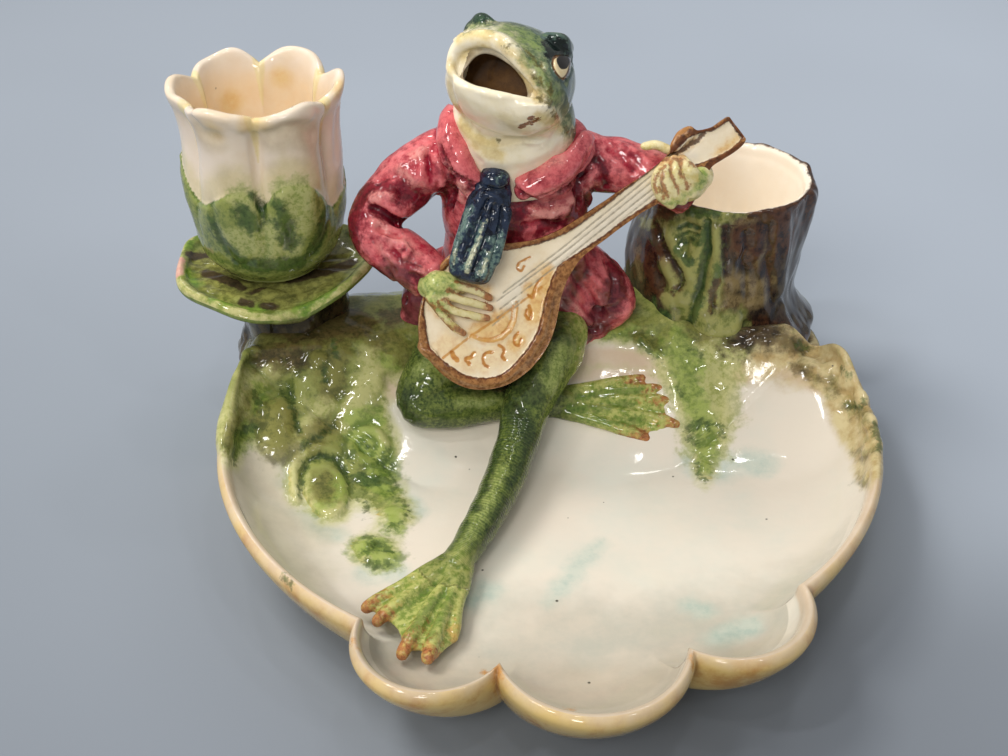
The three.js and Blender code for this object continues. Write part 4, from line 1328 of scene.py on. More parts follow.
@dataclass
class FlowerCup(Piece):
    """The tulip that holds cigarettes: six blunt petals round its rim and green sepals round its foot."""

    x: float = -94.3
    y: float = 85.5
    foot: float = 67.0
    rim: float = 135.0
    rise: float = 2.1
    spread: float = 1.9
    bluntness: float = 0.85
    around: int = 240
    profile: Rows = numbers("""
        66,0 66,12 67.4,17.4 70.5,20.6 76,23.6 84,25.6 96,27.1 108,27.2 120,26.5 129,27.4 133.8,28.8
        136.2,28.9 137,27.2 135.8,25.4 131,24 122,23.2 100,22.6 84,19.8 77.5,15 76.5,8 76.5,0
    """)
    # The top edge of the sepals round the front, as the photograph shows it
    sepal_edge: Rows = numbers("""
        181,150 184,168 191,187 199,199 207,204 216,200 228,194 243,191 252,196 258,206 262,209 266,203
        274,193 285,186 297,183 309,185 320,193 328,205 333,206 339,196 343,184
    """)
    back_sepals: int = 3

    def shape(self) -> bpy.types.Object:
        """Returns the cup with its petals."""

        def shape(height: np.ndarray, radius: np.ndarray, angle: np.ndarray, share: np.ndarray) -> tuple:
            wave = np.abs(np.cos(3 * angle)) ** self.bluntness * 2 - 1
            part = smooth_step(self.foot + 12, self.rim, height)
            out = radius + self.spread * part * wave
            dip = np.exp(-((np.cos(3 * angle) / 0.4) ** 2))
            outer = smooth_step(0.52, 0.44, share)
            groove = smooth_step(84.0, 110.0, height) * outer
            out = out - 1.2 * dip * groove + 0.8 * dip * smooth_step(126.0, 134.0, height) * outer
            wobble = 0.7 * np.sin(7 * angle + 1.0) + 0.5 * np.sin(11 * angle)
            up = height + (self.rise * wave + wobble) * part**5
            return self.x + out * np.cos(angle), self.y + out * np.sin(angle), up

        return wrapped_grid("flower_cup", turned_rings(self.profile, 10, self.around, shape))

    def sepal_line(self, surface: Surface) -> tuple[np.ndarray, np.ndarray]:
        """Returns the angles round the cup and the heights of the sepals' top edge."""
        seen = surface.line(self.sepal_edge)
        angle = np.arctan2(seen[:, 1] - self.y, seen[:, 0] - self.x)
        angle = np.where(angle > math.pi / 2, angle - 2 * math.pi, angle)
        order = np.argsort(angle)
        angle, height = angle[order], seen[order, 2]
        start, end = angle[-1], angle[0] + 2 * math.pi
        behind = np.linspace(start, end, 40)[1:-1]
        lobes = np.abs(np.sin(self.back_sepals * math.pi * (behind - start) / (end - start)))
        tops = mix(height[-1], height[0], (behind - start) / (end - start)) - 6.0 + 10.0 * lobes**0.7
        angle = np.concatenate([angle, behind, [end]])
        return angle, np.concatenate([height, tops, [height[0]]])

    def sepals(self, clay: Clay, surface: Surface) -> np.ndarray:
        """Returns how far below the sepals' top edge each point of the outside lies, in millimetres."""
        way = clay.points[:, :2] - [self.x, self.y]
        angle = np.arctan2(way[:, 1], way[:, 0])
        line, height = self.sepal_line(surface)
        angle = np.where(angle < line[0], angle + 2 * math.pi, angle)
        outward = np.einsum("ij,ij->i", clay.normals[:, :2], way)
        outside = (outward > 0) & (np.hypot(way[:, 0], way[:, 1]) > 18.0)
        below = np.interp(angle, line, height) - clay.points[:, 2]
        return np.where(outside | (clay.points[:, 2] < 74.0), below, -20.0)

    def carve(self, clay: Clay) -> None:
        """Raises the sepals and the petals' ribs."""
        surface = Surface(clay.piece)
        below = self.sepals(clay, surface)
        foot = smooth_step(70.0, 78.0, clay.points[:, 2])
        clay.push(0.9 * smooth_step(0.0, 1.2, below) * foot + 0.5 * smooth_step(1.0, 9.0, below) * foot)
        clay.carve(surface, """
            3 -1 262,208 263,228 266,252; 3 -.7 213,205 222,235 236,258; 3 -.8 327,208 322,232 312,252; 6 .8
            225,202 232,228 244,250; 4 .6 250,202 254,226 258,248; 4 .5 281,200 280,225 277,250; 6 .9
            306,196 308,222 300,248; 2.6 -.6 245,210 250,222 256,232; 2.6 -.7 281,208 288,225 292,243; 3.4
            -.9 255,136 256,156 259,182 261,204; 2.4 .6 264,176 264,205; 4 -.9 193,120 202,132 216,137; 5
            -1.2 272,134 284,128 300,127 314,134; 4 .8 196,112 212,112 228,118 242,128; 4 .8 266,126 276,116
            292,113 308,118; 3 -.4 226,178 228,195; 3 -.6 338,110 336,132 337,160
        """)
        clay.roughen(0.35, 14.0, 61, 1.0, 1)
        clay.roughen(0.14, 3.0, 63, smooth_step(0.0, 2.0, below), 2)

    def paint(self, clay: Clay) -> None:
        """Paints the masks that the cup's glazes follow."""
        surface = Surface(clay.piece)
        clay.paint_hollows(8)
        clay.paint("sepal", self.sepals(clay, surface))
        way = clay.points[:, :2] - [self.x, self.y]
        inward = np.einsum("ij,ij->i", clay.normals[:, :2], way) < 0
        high = clay.points[:, 2]
        inside = np.where(inward | (clay.normals[:, 2] > 0.8), 132.0 - high, -8.0)
        clay.paint("inside", inside * (high > 75.0))
        angle = np.arctan2(way[:, 1], way[:, 0])
        notch = 1.0 - np.abs(np.cos(3 * angle))
        clay.paint("notch", np.where(high > 118.0, 6.0 * (notch - 0.82) * 4 + (high - 130.0) * 0.3, -8.0))
        daub(
            clay, surface,
            yellow="""
                4.5 231,101; 3.5 281,78; 2.5 216,133 212,128; 2.5 340,84 338,95; 4 255,118 258,124 250,122
            """,
            petal_shade="""
                6 276,140 292,134 310,140; 5 200,132 212,137; 6 318,150 322,180; 4 228,176 230,192; 5
                282,172 298,168
            """,
            dark="""
                3.4 243,212 248,222 252,226; 1.8 262,206 265,216; 2.6 279,206 281,216; 3.2 284,222 287,236
                291,243; 2.6 212,222 222,240 236,256; 3 326,214 322,232 314,248; 3.4 240,262 270,266
                300,262; 1.6 252,196 260,208
            """,
            pale="""
                5 240,240 262,246 284,252; 4 240,198 248,204; 5 300,200 302,222; 4 268,226 272,238; 3
                222,236 228,240; 4 285,192 298,190
            """,
            nick="1 168,73 169,76; .4 216,88",
        )
        ring = 1.1 - np.abs(high - 68.6)
        clay.paint("ring", ring)

    finish: Finish = Finish(
        "tulip_glaze", srgb("f0e2d4"),
        coats("""
            f0e2ca e6cfac -           -.2  5   2   24  16  3   .5  0  .7
            f6e6cc f0d6b0 inside      -2   10  1   16  14  2   .6  0  .9
            ece0a8 e0c870 notch       0    3   1   6   5   2.5 .3  .6 .6
            ead096 deac5c yellow      0    5   .8  8   6   2   .3  0  .7
            ccbe9e b29e78 petal_shade 0    7   .6  8   5   2   .5  0  .55
            e2d4a0 ccc282 sepal       9    9   2   7   5   3   .4  .5 .5
            96a45e 5c7436 sepal       -.2  .9  .35 2.5 3   4   .5  .7
            90964e 50642c sepal       -1.2 2.2 1.6 2.6 1.8 4   .45 1  .68
            b6b87a 8c9852 pale        .8   4   1.8 3   1.6 5   .4  .4 .8
            48622e 223a1c dark        .2   2.8 1.6 3   2   3.4 .5  .5 .85
            bec28c a0a868 ring        0    .6  .2  3   3   2   .5  0  .85
            6e5038 463024 nick        0    .5  .3  1.5 1.5
        """),
        speck_size=9.0, speck_share=0.04,
    )


@dataclass
class LilyPad:
    """The leaf under the flower cup, with the rock that carries it."""

    x: float = -94.5
    y: float = 84.0
    reach_x: float = 36.5
    reach_y: float = 34.0
    top: float = 67.5
    around: int = 260
    post_x: float = -89.0
    post_y: float = 86.0
    # The rock: height, half width and half depth
    post: Rows = numbers("26,22,27 33,20.5,23.5 40,19.5,20 52,19.5,17.5 58,21,18 62,24,20.5")
    # The leaf: share of its reach and depth below its top, from below round the edge to the middle
    profile: Rows = numbers("""
        .6,4.6 .76,4.4 .9,4.4 .975,3.7 1,2.3 .99,.7 .955,-.4 .905,.1 .86,1.2 .75,1.5 .6,1.3 .45,1.3 .3,1.3
    """)

    def shape(self) -> bpy.types.Object:
        """Returns the leaf and the rock below it in one body of rings."""
        angle = np.linspace(0.0, 2 * math.pi, self.around, endpoint=False)
        edge = 1 + 0.03 * np.cos(3 * angle + 0.6) + 0.02 * np.cos(7 * angle)
        lift = 0.9 + 3.0 * np.cos(2 * angle) + 0.8 * np.sin(angle) - 1.1 * np.cos(5 * angle + 1)
        lift = lift - 1.2 * np.exp(-(((angle - 5.05) / 0.2) ** 2))
        lift = lift - 2.4 * np.exp(-(((angle - 2.95) / 0.24) ** 2))
        rings = []
        for height, across, along in spline(self.post, 7):
            rough = 1 + 0.05 * np.sin(3 * angle + height / 6)
            rings.append(np.column_stack([
                self.post_x + across * rough * np.cos(angle),
                self.post_y + along * rough * np.sin(angle),
                np.full(self.around, height),
            ]))
        rings.insert(0, rings[0] * [0, 0, 1] + [self.post_x, self.post_y, 0])
        for share, drop in spline(self.profile, 9):
            rings.append(np.column_stack([
                self.x + self.reach_x * share * edge * np.cos(angle),
                self.y + self.reach_y * share * edge * np.sin(angle),
                self.top - drop + lift * share**3,
            ]))
        rings.append(rings[-1] * [0, 0, 1] + [self.x, self.y, 0])
        return wrapped_grid("lily_pad", np.array(rings))

    def carve(self, clay: Clay, surface: Surface) -> None:
        """Presses the veins into the leaf and breaks up the rock."""
        rock = smooth_step(63.0, 58.0, clay.points[:, 2])
        clay.roughen(1.3, 11.0, 71, rock, 3)
        clay.roughen(0.22, 2.4, 73, rock, 1)
        leaf = smooth_step(0.3, 0.7, clay.normals[:, 2]) * (1 - rock)
        clay.roughen(0.3, 7.0, 75, leaf, 2)
        for turn in range(14):
            angle = 2 * math.pi * (turn + 0.3 * math.sin(3 * turn)) / 14
            line = []
            for share in (0.5, 0.7, 0.86):
                bent = angle + 0.12 * (share - 0.5) * math.sin(2 * turn)
                x = self.x + self.reach_x * share * math.cos(bent)
                line.append((x, self.y + self.reach_y * share * math.sin(bent), self.top - 1))
            touch = clay.brush(line, 2.2) * leaf
            clay.push(-0.5 * touch)
        clay.carve(surface, """
            3 -.7 195,262 225,270 255,282 290,290; 2.2 -.5 240,303 262,300 290,295 330,280; 2.6 .5 212,290
            240,297 275,305
        """)

    spots: tuple[Stroke, ...] = strokes("""
        2.3 190,255 200,256 210,255,.7; 2.6 207,272 218,276 232,282 242,287,.7; 2 243,302 250,304; 1.9
        264,306 273,307; 2.6 250,276 290,279 325,272,1.2 352,262; 1.6 228,258 244,268 258,274; 1.4 250,292
        262,288
    """)

    def paint(self, clay: Clay, surface: Surface) -> None:
        """Paints the masks that the leaf's glazes follow."""
        clay.paint_hollows(8)
        high = clay.points[:, 2]
        way = (clay.points[:, :2] - [self.x, self.y]) / [self.reach_x, self.reach_y]
        share = np.linalg.norm(way, axis=1)
        clay.paint("rock", 61.0 - high + 2.0 * (share < 0.75))
        clay.paint("edge", np.where(high > 58.0, (share - 0.91) * 34.0, -10.0))
        clay.paint("spot", cover(clay, surface, self.spots))
        clay.paint("shade", np.where(clay.normals[:, 2] > 0.2, (0.84 - share) * 34.0, -4.0))
        daub(
            clay, surface,
            pinkish="2.6 176,262 177,272",
            fresh="""
                3.4 300,310 325,300 350,290 366,280; 2.4 215,303 240,308 262,308; 3 192,232 186,246; 2.6
                186,268 196,284
            """,
        )
        # Painted shade: darker green under the leaf's rim
        below = np.where((clay.normals[:, 2] < 0.2) & (high > 56.0) & (share > 0.8), 4.0, -4.0)
        clay.paint("under", below + (66.0 - high) * 0.8)
        daub(
            clay, surface,
            # Painted reflection: a grey band of reflected light down the rock's shaded left side
            rock_light="5 250,326 252,345 256,366",
        )

    def build(self) -> bpy.types.Object:
        """Builds and glazes the leaf and its rock."""
        clay = Clay(self.shape())
        surface = Surface(clay.piece)
        self.carve(clay, surface)
        self.paint(clay, surface)
        return finish_piece(clay.piece, self.finish)

    finish: Finish = Finish(
        "leaf_glaze", srgb("b4be78"),
        coats("""
            9aa054 606e30 -          1    3   2   7   4 4 .5 .7
            929250 5e5e34 shade      0    8   2.5 6   3 4 .5 .6 .85
            80a03e 4c7428 fresh      0    3.5 1.2 5   3 3 .5 .5 .8
            cec88e 8e984e edge       -1.3 1.8 1.6 5   4 4 .4 .3 .85
            788e3e 4a6228 under      0    2.5 1.4 4   3 3 .5 .3 .85
            4e3e30 2c2220 spot       0    1.4 .6  2.5 2 2 .5 0  .92
            e2baa8 d6a094 pinkish    0    1.5 .5  4
            606036 302e1e rock       0    3   1   6   4 4 .5 .9
            50422c 241e18 rock       -4   7   6   7   4 4 .5 .9 .8
            969488 686c5c rock_light 0    5   1.4 5   3 4 .5 .9 .7
        """),
        speck_share=0.03,
    )


# The tree stump


@dataclass
class Stump(Piece):
    """The cup in the form of a tree stump, with ridged bark, a broken rim and roots in the bank."""

    x: float = 79.5
    y: float = 92.0
    rim: float = 89.0
    lean: float = 5.0
    depth: float = 0.93
    bark: float = 0.035
    around: int = 290
    outside: Rows = numbers("""
        2,0 2,28 12,33 22,36.4 28,36.8 32,35.6 42,33.2 56,33.4 68,33.4 80,32.8 86.5,32.4 89,31.2
    """)
    inside: Rows = numbers("89.6,29.4 88.4,27.6 85.5,26.9 82,26.1 74,25.2 60,24.6 50,22.6 46.5,17 46,10 46,0")

    def shape(self) -> bpy.types.Object:
        """Returns the stump with its broad ridges."""

        def shape(height: np.ndarray, radius: np.ndarray, angle: np.ndarray, share: np.ndarray) -> tuple:
            ridge = 0.6 * np.sin(8 * angle + height / 19) + 0.4 * np.sin(5 * angle - height / 23)
            ridge = ridge + 0.3 * np.sin(3 * angle)
            outer = smooth_step(0.56, 0.46, share)
            flat = mix(1.0, self.depth, np.sin(angle) ** 2 * outer)
            out = radius * (1 + self.bark * ridge * outer) * flat
            middle = self.x - self.lean * (1 - smooth_step(56.0, self.rim, height)) * outer
            broken = np.sin(4 * angle) + 0.5 * np.sin(9 * angle + 1) + 0.3 * np.sin(17 * angle)
            up = height + 1.1 * broken * smooth_step(self.rim - 10, self.rim, height) * mix(0.3, 1.0, outer)
            return middle + out * np.cos(angle), self.y + out * np.sin(angle), up

        return wrapped_grid("tree_stump", turned_rings((*self.outside, *self.inside), 9, self.around, shape))

    def outer(self, clay: Clay) -> np.ndarray:
        """Returns which points lie on the bark, from 0 to 1."""
        way = clay.points[:, :2] - [self.x, self.y]
        outward = np.einsum("ij,ij->i", clay.normals[:, :2], way) / np.linalg.norm(way, axis=1).clip(1e-6)
        return smooth_step(-0.2, 0.3, outward) * (np.linalg.norm(way, axis=1) > 26.0)

    def carve(self, clay: Clay) -> None:
        """Cuts the bark's fissures and knots and pulls out the roots."""
        surface = Surface(clay.piece)
        bark = self.outer(clay)
        stretched = clay.points * [1.0, 1.0, 0.3]
        clay.push(noise(stretched, 6.0, 81, 2) * 0.6 * bark)
        clay.push(noise(clay.points * [1.0, 1.0, 0.5], 2.6, 83, 1) * 0.18 * bark)
        clay.push(-0.6 * np.abs(noise(stretched, 10.0, 85, 1)) * bark)
        clay.carve(surface, """
            2.6 -1.3 655,222 662,243 674,262 684,280 676,292; 3.5 1.1 668,236 680,258 690,276; 5 -1.2
            650,250 656,268 664,288; 4 1 662,262 672,282 684,300; 3 -1.4 708,224 706,250 700,285 692,312
            686,334; 3.6 1.3 716,228 717,260 715,300; 2.6 -1.1 726,226 724,252 727,275; 2.2 -1.2 716,279
            714,296 712,312; 5 .8 700,240 694,262 690,284; 4 -1 748,236 746,262 750,296; 4 -1 770,228
            768,262 772,300; 4 1 788,220 786,255 782,290; 3 .7 740,250 756,258 770,252
        """, where=bark)
        for rise in (0, 7, 14):
            clay.carve(surface, f"1.6 -.8 679,{229 + rise} 688,{224 + rise} 699,{229 + rise}", where=bark)
        clay.carve(surface, """
            2 .5 690,214 672,216 655,217; 2 -1 682,318 690,334 712,340 736,336 744,322; 8 2.2 672,300
            664,322 655,336; 9 2.2 704,314 712,330 730,326
        """, where=bark)
        for turn in range(9):
            angle = math.radians(8 + 38 * turn)
            foot = (self.x - self.lean + 34 * math.cos(angle), self.y + 31 * math.sin(angle))
            line = [(*foot, 26, 1), (*foot, 34, 0.8), (*foot, 44, 0.4)]
            clay.push(clay.brush(line, 9.0) * bark * (1.5 + 0.6 * math.sin(5 * turn)) * (turn > 0))
        way = clay.points[:, :2] - [self.x - self.lean, self.y]
        way /= np.linalg.norm(way, axis=1).clip(1e-6)[:, None]
        flare = smooth_step(0.3, 1.0, way @ [0.94, -0.34]) * bark
        low = np.clip((47.0 - clay.points[:, 2]) / 16.0, 0.0, 1.2)
        clay.points[:, :2] += way * (4.5 * flare * low**2)[:, None]
        clay.set()
        for step in range(16):
            angle = math.radians(20 + 19 * step)
            top = self.rim - 3 - 5 * (step % 3)
            line = [(self.x + 33 * math.cos(angle + bend), self.y + 31 * math.sin(angle + bend), top - down)
                    for down, bend in ((0, 0.0), (5, 0.03), (12 + 4 * (step % 4), -0.02))]
            clay.push(clay.brush(line, 2.4) * bark * -0.7)

    green: tuple[Area, ...] = (
        Area("""
            640,212 668,206 700,206 735,208 748,214 738,224 722,226 718,240 722,262 722,285 728,308 748,318
            752,345 700,350 630,350 600,345 606,308 626,292 640,302 654,318 672,312 688,298 688,282 678,264
            664,246 656,232 642,226
        """, 20),
    )
    brown: tuple[Area, ...] = (
        Area("640,238 652,244 660,258 670,274 668,290 656,300 644,296 634,280 628,262 630,248"),
        Area("""
            748,204 775,198 800,184 815,190 815,215 800,240 776,262 756,268 738,258 730,236 736,218
        """, 20),
        Area("748,316 770,318 790,322 808,336 820,352 790,362 760,356 746,340", 20),
    )
    strokes: dict[str, tuple[Stroke, ...]] = field(default_factory=lambda: {
        "lime": strokes("""
            6 682,236 690,260 686,286; 2.6 716,232 717,262 714,300; 5 672,296 690,306 702,300; 6 694,326
            716,330 738,324; 3 700,218 720,216; 4 612,322 630,330 650,334; 3 664,270 674,288 682,298
        """),
        "fir": strokes("""
            2.2 709,222 707,248 702,284 696,308 688,332,.7; .9 679,228 688,224 700,228; .9 679,236 689,232
            700,236; .9 680,243 690,240 699,243; 3.4 624,304 630,318 640,330; 3 664,316 670,326 676,334; 2
            690,212 715,213 735,211; 1.4 655,300 650,320; 1 684,330 698,341 722,342 740,336; 1.6 676,252
            690,262; 1.4 718,268 716,284
        """),
        "dark": strokes("""
            1.4 655,222 662,243 674,262 684,280 674,292,.7; 2.4 645,255 652,275 660,290; 1.4 716,282 713,298
            711,312,.6; 1 725,228 723,252 725,272; 3 742,232 756,244 750,262; 2 642,211 656,214 672,213; 1.4
            770,232 768,262 770,292,.6
        """),
        "tan": strokes("""
            1.6 758,262 768,250 768,238,.5; 4 730,282 750,286 770,282,.5; 4 726,300 745,304 766,298,.6; 2
            640,250 636,262 640,276; 2.4 664,262 672,280 664,292; 2 742,224 752,218; 4 758,350 775,355
            800,356
        """),
    })

    def paint(self, clay: Clay) -> None:
        """Paints the masks that the stump's glazes follow."""
        surface = Surface(clay.piece)
        clay.paint_hollows(8)
        bark = self.outer(clay)
        on_bark = bark > 0.3
        way = clay.points[:, :2] - [self.x, self.y]
        high = clay.points[:, 2]
        foot = np.where(clay.points[:, 1] > self.y, 48.0 - high, -20.0) * 0.6
        clay.paint("green", np.where(on_bark, np.maximum(cover(clay, surface, self.green), foot), -20.0))
        clay.paint("brown", np.where(on_bark, cover(clay, surface, self.brown), -20.0))
        for name, strokes in self.strokes.items():
            clay.paint(name, np.where(on_bark, cover(clay, surface, strokes), -20.0))
        clay.paint("inside", np.where(bark > 0.5, -6.0, 6.0))
        flat = np.linalg.norm(way, axis=1)
        edge = np.where((high > 84.0) & (flat > 27.0), flat - 30.0 + 0.35 * (high - 88.5), -6.0)
        clay.paint("edge", np.where(cover(clay, surface, self.green) > 0.0, edge - 3.0, edge))
        clay.paint("bark", bark * 8.0 - 4.0)

    finish: Finish = Finish(
        "bark_glaze", srgb("f6e6d0"),
        coats("""
            fef7ea faefdd inside 0    4   .5  20  16  2   .5  0  .8
            463930 201919 bark   .6   2   .8  5   3   4   .55 .8 1   .6
            605842 3c362c bark   -3.6 3   5   8   2.2 4   .5  .8 .5  .5
            583824 261611 brown  0    4   2.4 4   2.2 4.5 .5  .9 .85 .7
            8a8a52 545a2e green  -.5  3   2   4   2.6 4.5 .5  1  .92 .7
            96845c 605036 tan    0    3.6 2.4 4   2   4   .4  .9 .7  .7
            a0a262 707a3e lime   0    4   2   4   2   4   .4  1  .8  .7
            486234 243c22 fir    .1   1.8 1.2 2.4 2   3   .5  .5 .85
            543624 281814 dark   .1   2   1.4 2.4 2   3   .5  .5 .85
            5c3c2a 301e18 edge   .5   1.8 1   4   3   3   .5  0  .95
        """),
        gloss=0.06, speck_share=0.0,
    )


# The frog's clothes


@dataclass
class Jacket(Piece):
    """The frog's coat: its body, sleeves, collar and tails, worked together as one skin."""

    torso: Rows = numbers("""
        -3,77,37,34,23 -3,76.5,47,33.5,23 -4.5,75.5,60,29,20 -5,73,76,26.5,18 -5.5,72,92,26.5,17.5
        -6,73,107,26.5,16.5 -6.5,73,115,21,15
    """)
    shoulders: Rows = numbers("""
        -30,76,108.5,11.5 -18,78,110,13.5 -6,79,110,14 8,78.5,107.5,13.5 20,77,105.5,11.5
    """)
    right_arm: Rows = numbers("""
        -20,75,112,11.5 -33,74.5,109.5,11.3 -45,71.5,103.5,10.6 -55.5,66,94,9.8 -54.5,61,87.5,9.4
        -46.5,56,82.5,9.4 -38,50,77,8.6
    """)
    left_arm: Rows = numbers("10,76,107,11 22,76,105.5,10.5 36,74,103.8,9.6 47,70.5,101,9 57,68,95.5,8.4")
    collar: Rows = numbers("""
        -20,54,106,3.2 -26,57,116,3.8 -28,65,126,3.6 -21,79,128,3.4 -6,86,126,3.4 9,80,122,3.4
        15.5,66.5,120,4.2 7.5,55,114,4.2 -5,52.5,108,3.4
    """)
    right_tail: Rows = numbers("-30,78,62,10 -38,77,52,10 -42,76,44,7")
    left_tail: Rows = numbers("18,76,66,10 27,73,56,11.5 30,71,49,11 25,68,41.5,6.5")
    grain: float = 0.74
    fold_depth: float = 1.4

    right_flap: Area = Area("""
        444,104 457,111 461,126 470,142 482,157 494,169 490,175 481,184 472,183 462,178 453,171 446,163
        441,152 438,141 438,130
    """)
    left_flap: Area = Area("""
        513,175 520,169 532,164 548,160 563,155 572,147 578,137 584,132 592,140 594,156 587,166 577,175
        563,185 550,193 538,197 528,195 520,189 515,182
    """)
    lapel: Area = Area("447,166 458,176 472,184 486,187 490,196 483,210 472,222 466,206 456,198 450,186")

    def shape(self) -> bpy.types.Object:
        """Returns the plain coat."""
        parts = [
            column(self.torso),
            limb(self.shoulders),
            limb(self.right_arm, blunt=0.35),
            limb(self.left_arm, blunt=0.3),
            limb(self.collar),
            limb(self.right_tail),
            limb(self.left_tail, flat=0.85),
        ]
        return fuse("frog_coat", parts, self.grain, 3)

    def carve(self, clay: Clay) -> None:
        """Raises the collar's flaps and presses the folds into the cloth."""
        surface = Surface(clay.piece)
        flap = np.maximum(self.right_flap.depth(clay, surface), self.left_flap.depth(clay, surface))
        lapel = self.lapel.depth(clay, surface)
        clay.push(1.9 * smooth_step(-0.5, 0.7, flap) + 0.9 * smooth_step(-0.5, 0.6, lapel) * (flap < 0.2))
        surface = Surface(clay.piece)
        clay.carve(surface, """
            1.6 -.9 440,146 447,165 463,180 480,187 488,180; 2.2 -1.3 446,164 452,178 454,190 450,207; 1.6
            -.8 520,192 538,199 563,188 583,173 594,158; 3.2 -2 373,207 384,214 398,221 406,224; 3.6 1.3
            372,200 382,195 392,196; 2.4 .9 380,200 392,208 402,214; 5 -1.1 404,190 420,197 438,198 450,190;
            2.6 1.1 384,236 392,241 402,243; 2.2 -1 379,228 388,234 398,236; 2.2 1.2 398,249 405,246 409,251
            404,256; 2.4 -1 393,252 400,260 410,263; 2.2 1 405,261 412,269 422,272; 2.4 -.9 414,273 420,282
            424,292; 3 -.8 372,240 380,256 392,270; 1.6 -.6 427,152 430,166 431,182; 2 .5 420,150 422,164
            421,178; 2.2 .9 436,156 440,168 442,184; 3 .6 400,165 410,160 424,152; 3 -.7 378,180 392,175
            404,178; 2.2 -1 470,190 466,200 470,214; 2 .8 486,188 478,198 474,212; 3 -1 530,200 548,205
            566,200 578,190; 3.2 1.1 534,212 550,216 566,210; 2.2 -.9 525,226 543,222 560,224; 2.6 -1.6
            583,174 578,188 580,203; 2.8 1.2 590,178 588,190 592,202; 2.4 -1 596,160 604,172 606,186; 2.6
            -.7 610,150 622,158 632,170; 2.6 .7 620,145 636,152 648,162; 2.6 -1.3 566,262 578,280 590,296
            600,310; 2.8 1.2 580,258 592,276 606,290; 2.6 1 566,296 580,312 590,322; 2.4 -.9 606,262 614,280
            612,300; 2.2 -1 560,313 576,326 594,330; 2.4 -.9 388,272 396,286 404,300
        """, self.fold_depth)
        clay.roughen(0.45, 8.0, 101, 1.0, 2)
        clay.roughen(0.1, 2.2, 103, 1.0, 1)
        clay.smooth(1)

    def paint(self, clay: Clay) -> None:
        """Paints the masks that the coat's glazes follow."""
        surface = Surface(clay.piece)
        clay.paint_hollows(6)
        flap = np.maximum(self.right_flap.depth(clay, surface), self.left_flap.depth(clay, surface))
        clay.paint("flap", flap)
        right_lapel = Area("523,200 545,202 570,196 583,186 586,200 572,212 550,222 530,216")
        clay.paint("lapel", cover(clay, surface, (self.lapel, right_lapel)))
        daub(
            clay, surface,
            # dark: painted shade in the folds, the creases of the elbows and under the sleeves
            dark="""
                2.6 373,207 384,214 398,221 406,224; 3.6 408,194 425,203 448,203; 1.5 441,150 447,166
                463,181 480,188; 1.8 446,166 453,180 451,207; 1.4 520,192 538,199 563,188 583,173; 2 583,174
                578,188 581,204; 4 365,190 358,205 352,225 355,245; 2.5 376,188 390,186 400,190; 2.2 366,262
                380,280 396,292; 3 414,272 424,282 428,296; 3.2 520,205 518,222 512,236; 3 545,226 560,222
                575,214; 3.5 612,262 618,280 612,300; 3 560,322 582,332 604,330; 2.2 596,160 604,172
                606,186; 5 585,205 600,200 612,196; 4 688,196 684,203 678,205
            """,
            # pale: painted highlight on the crests of the folds
            pale="""
                2.4 372,196 382,192 392,194; 2.6 376,222 384,232 392,238; 2.2 396,238 408,244 418,254; 2.2
                406,262 416,270 426,275; 2 448,168 452,176 462,186; 2.8 545,204 560,206 574,200; 2 590,180
                589,190 592,200; 2 412,156 424,150; 2.4 402,172 414,186 424,190; 2.2 528,170 545,166
                562,160; 2.4 640,148 654,150 664,156; 2.2 566,298 576,306 584,316; 2 380,246 388,262 400,276
            """,
            # plum: painted shade over the coat's tails
            plum="7 396,278 408,294 418,316; 6 614,290 604,312 585,330; 4 585,262 575,280 566,300",
        )

    finish: Finish = Finish(
        "raspberry_glaze", srgb("ce646a"),
        coats("""
            ec868a a82038 -     1    3   2   9   6 3.2 .4  .9
            e26c72 94162c -     0    2   1.6 2.6 2 4.2 .48 .7 .6
            eca09a d66e70 pale  -.4  3   2.4 4   2 4   .4  .5 .85
            da9e94 a84e54 lapel -.5  3   2   4   2 4   .4  1  .7
            dc6c70 b42e40 flap  -1.6 4   2   3   2 4   .4  .4 .6
            841a2c 4a0818 dark  .3   3.4 2.6 3.5 2 3.4 .5  .6 .92
            8c1c30 5c0c20 -     -1.1 2.6 2.4 4.6 3 3.4 .45 .9 .75
            76343a 401822 plum  0    5   2   5   3 3   .5  .6 .85
        """),
        gloss=0.05, speck_share=0.0,
    )


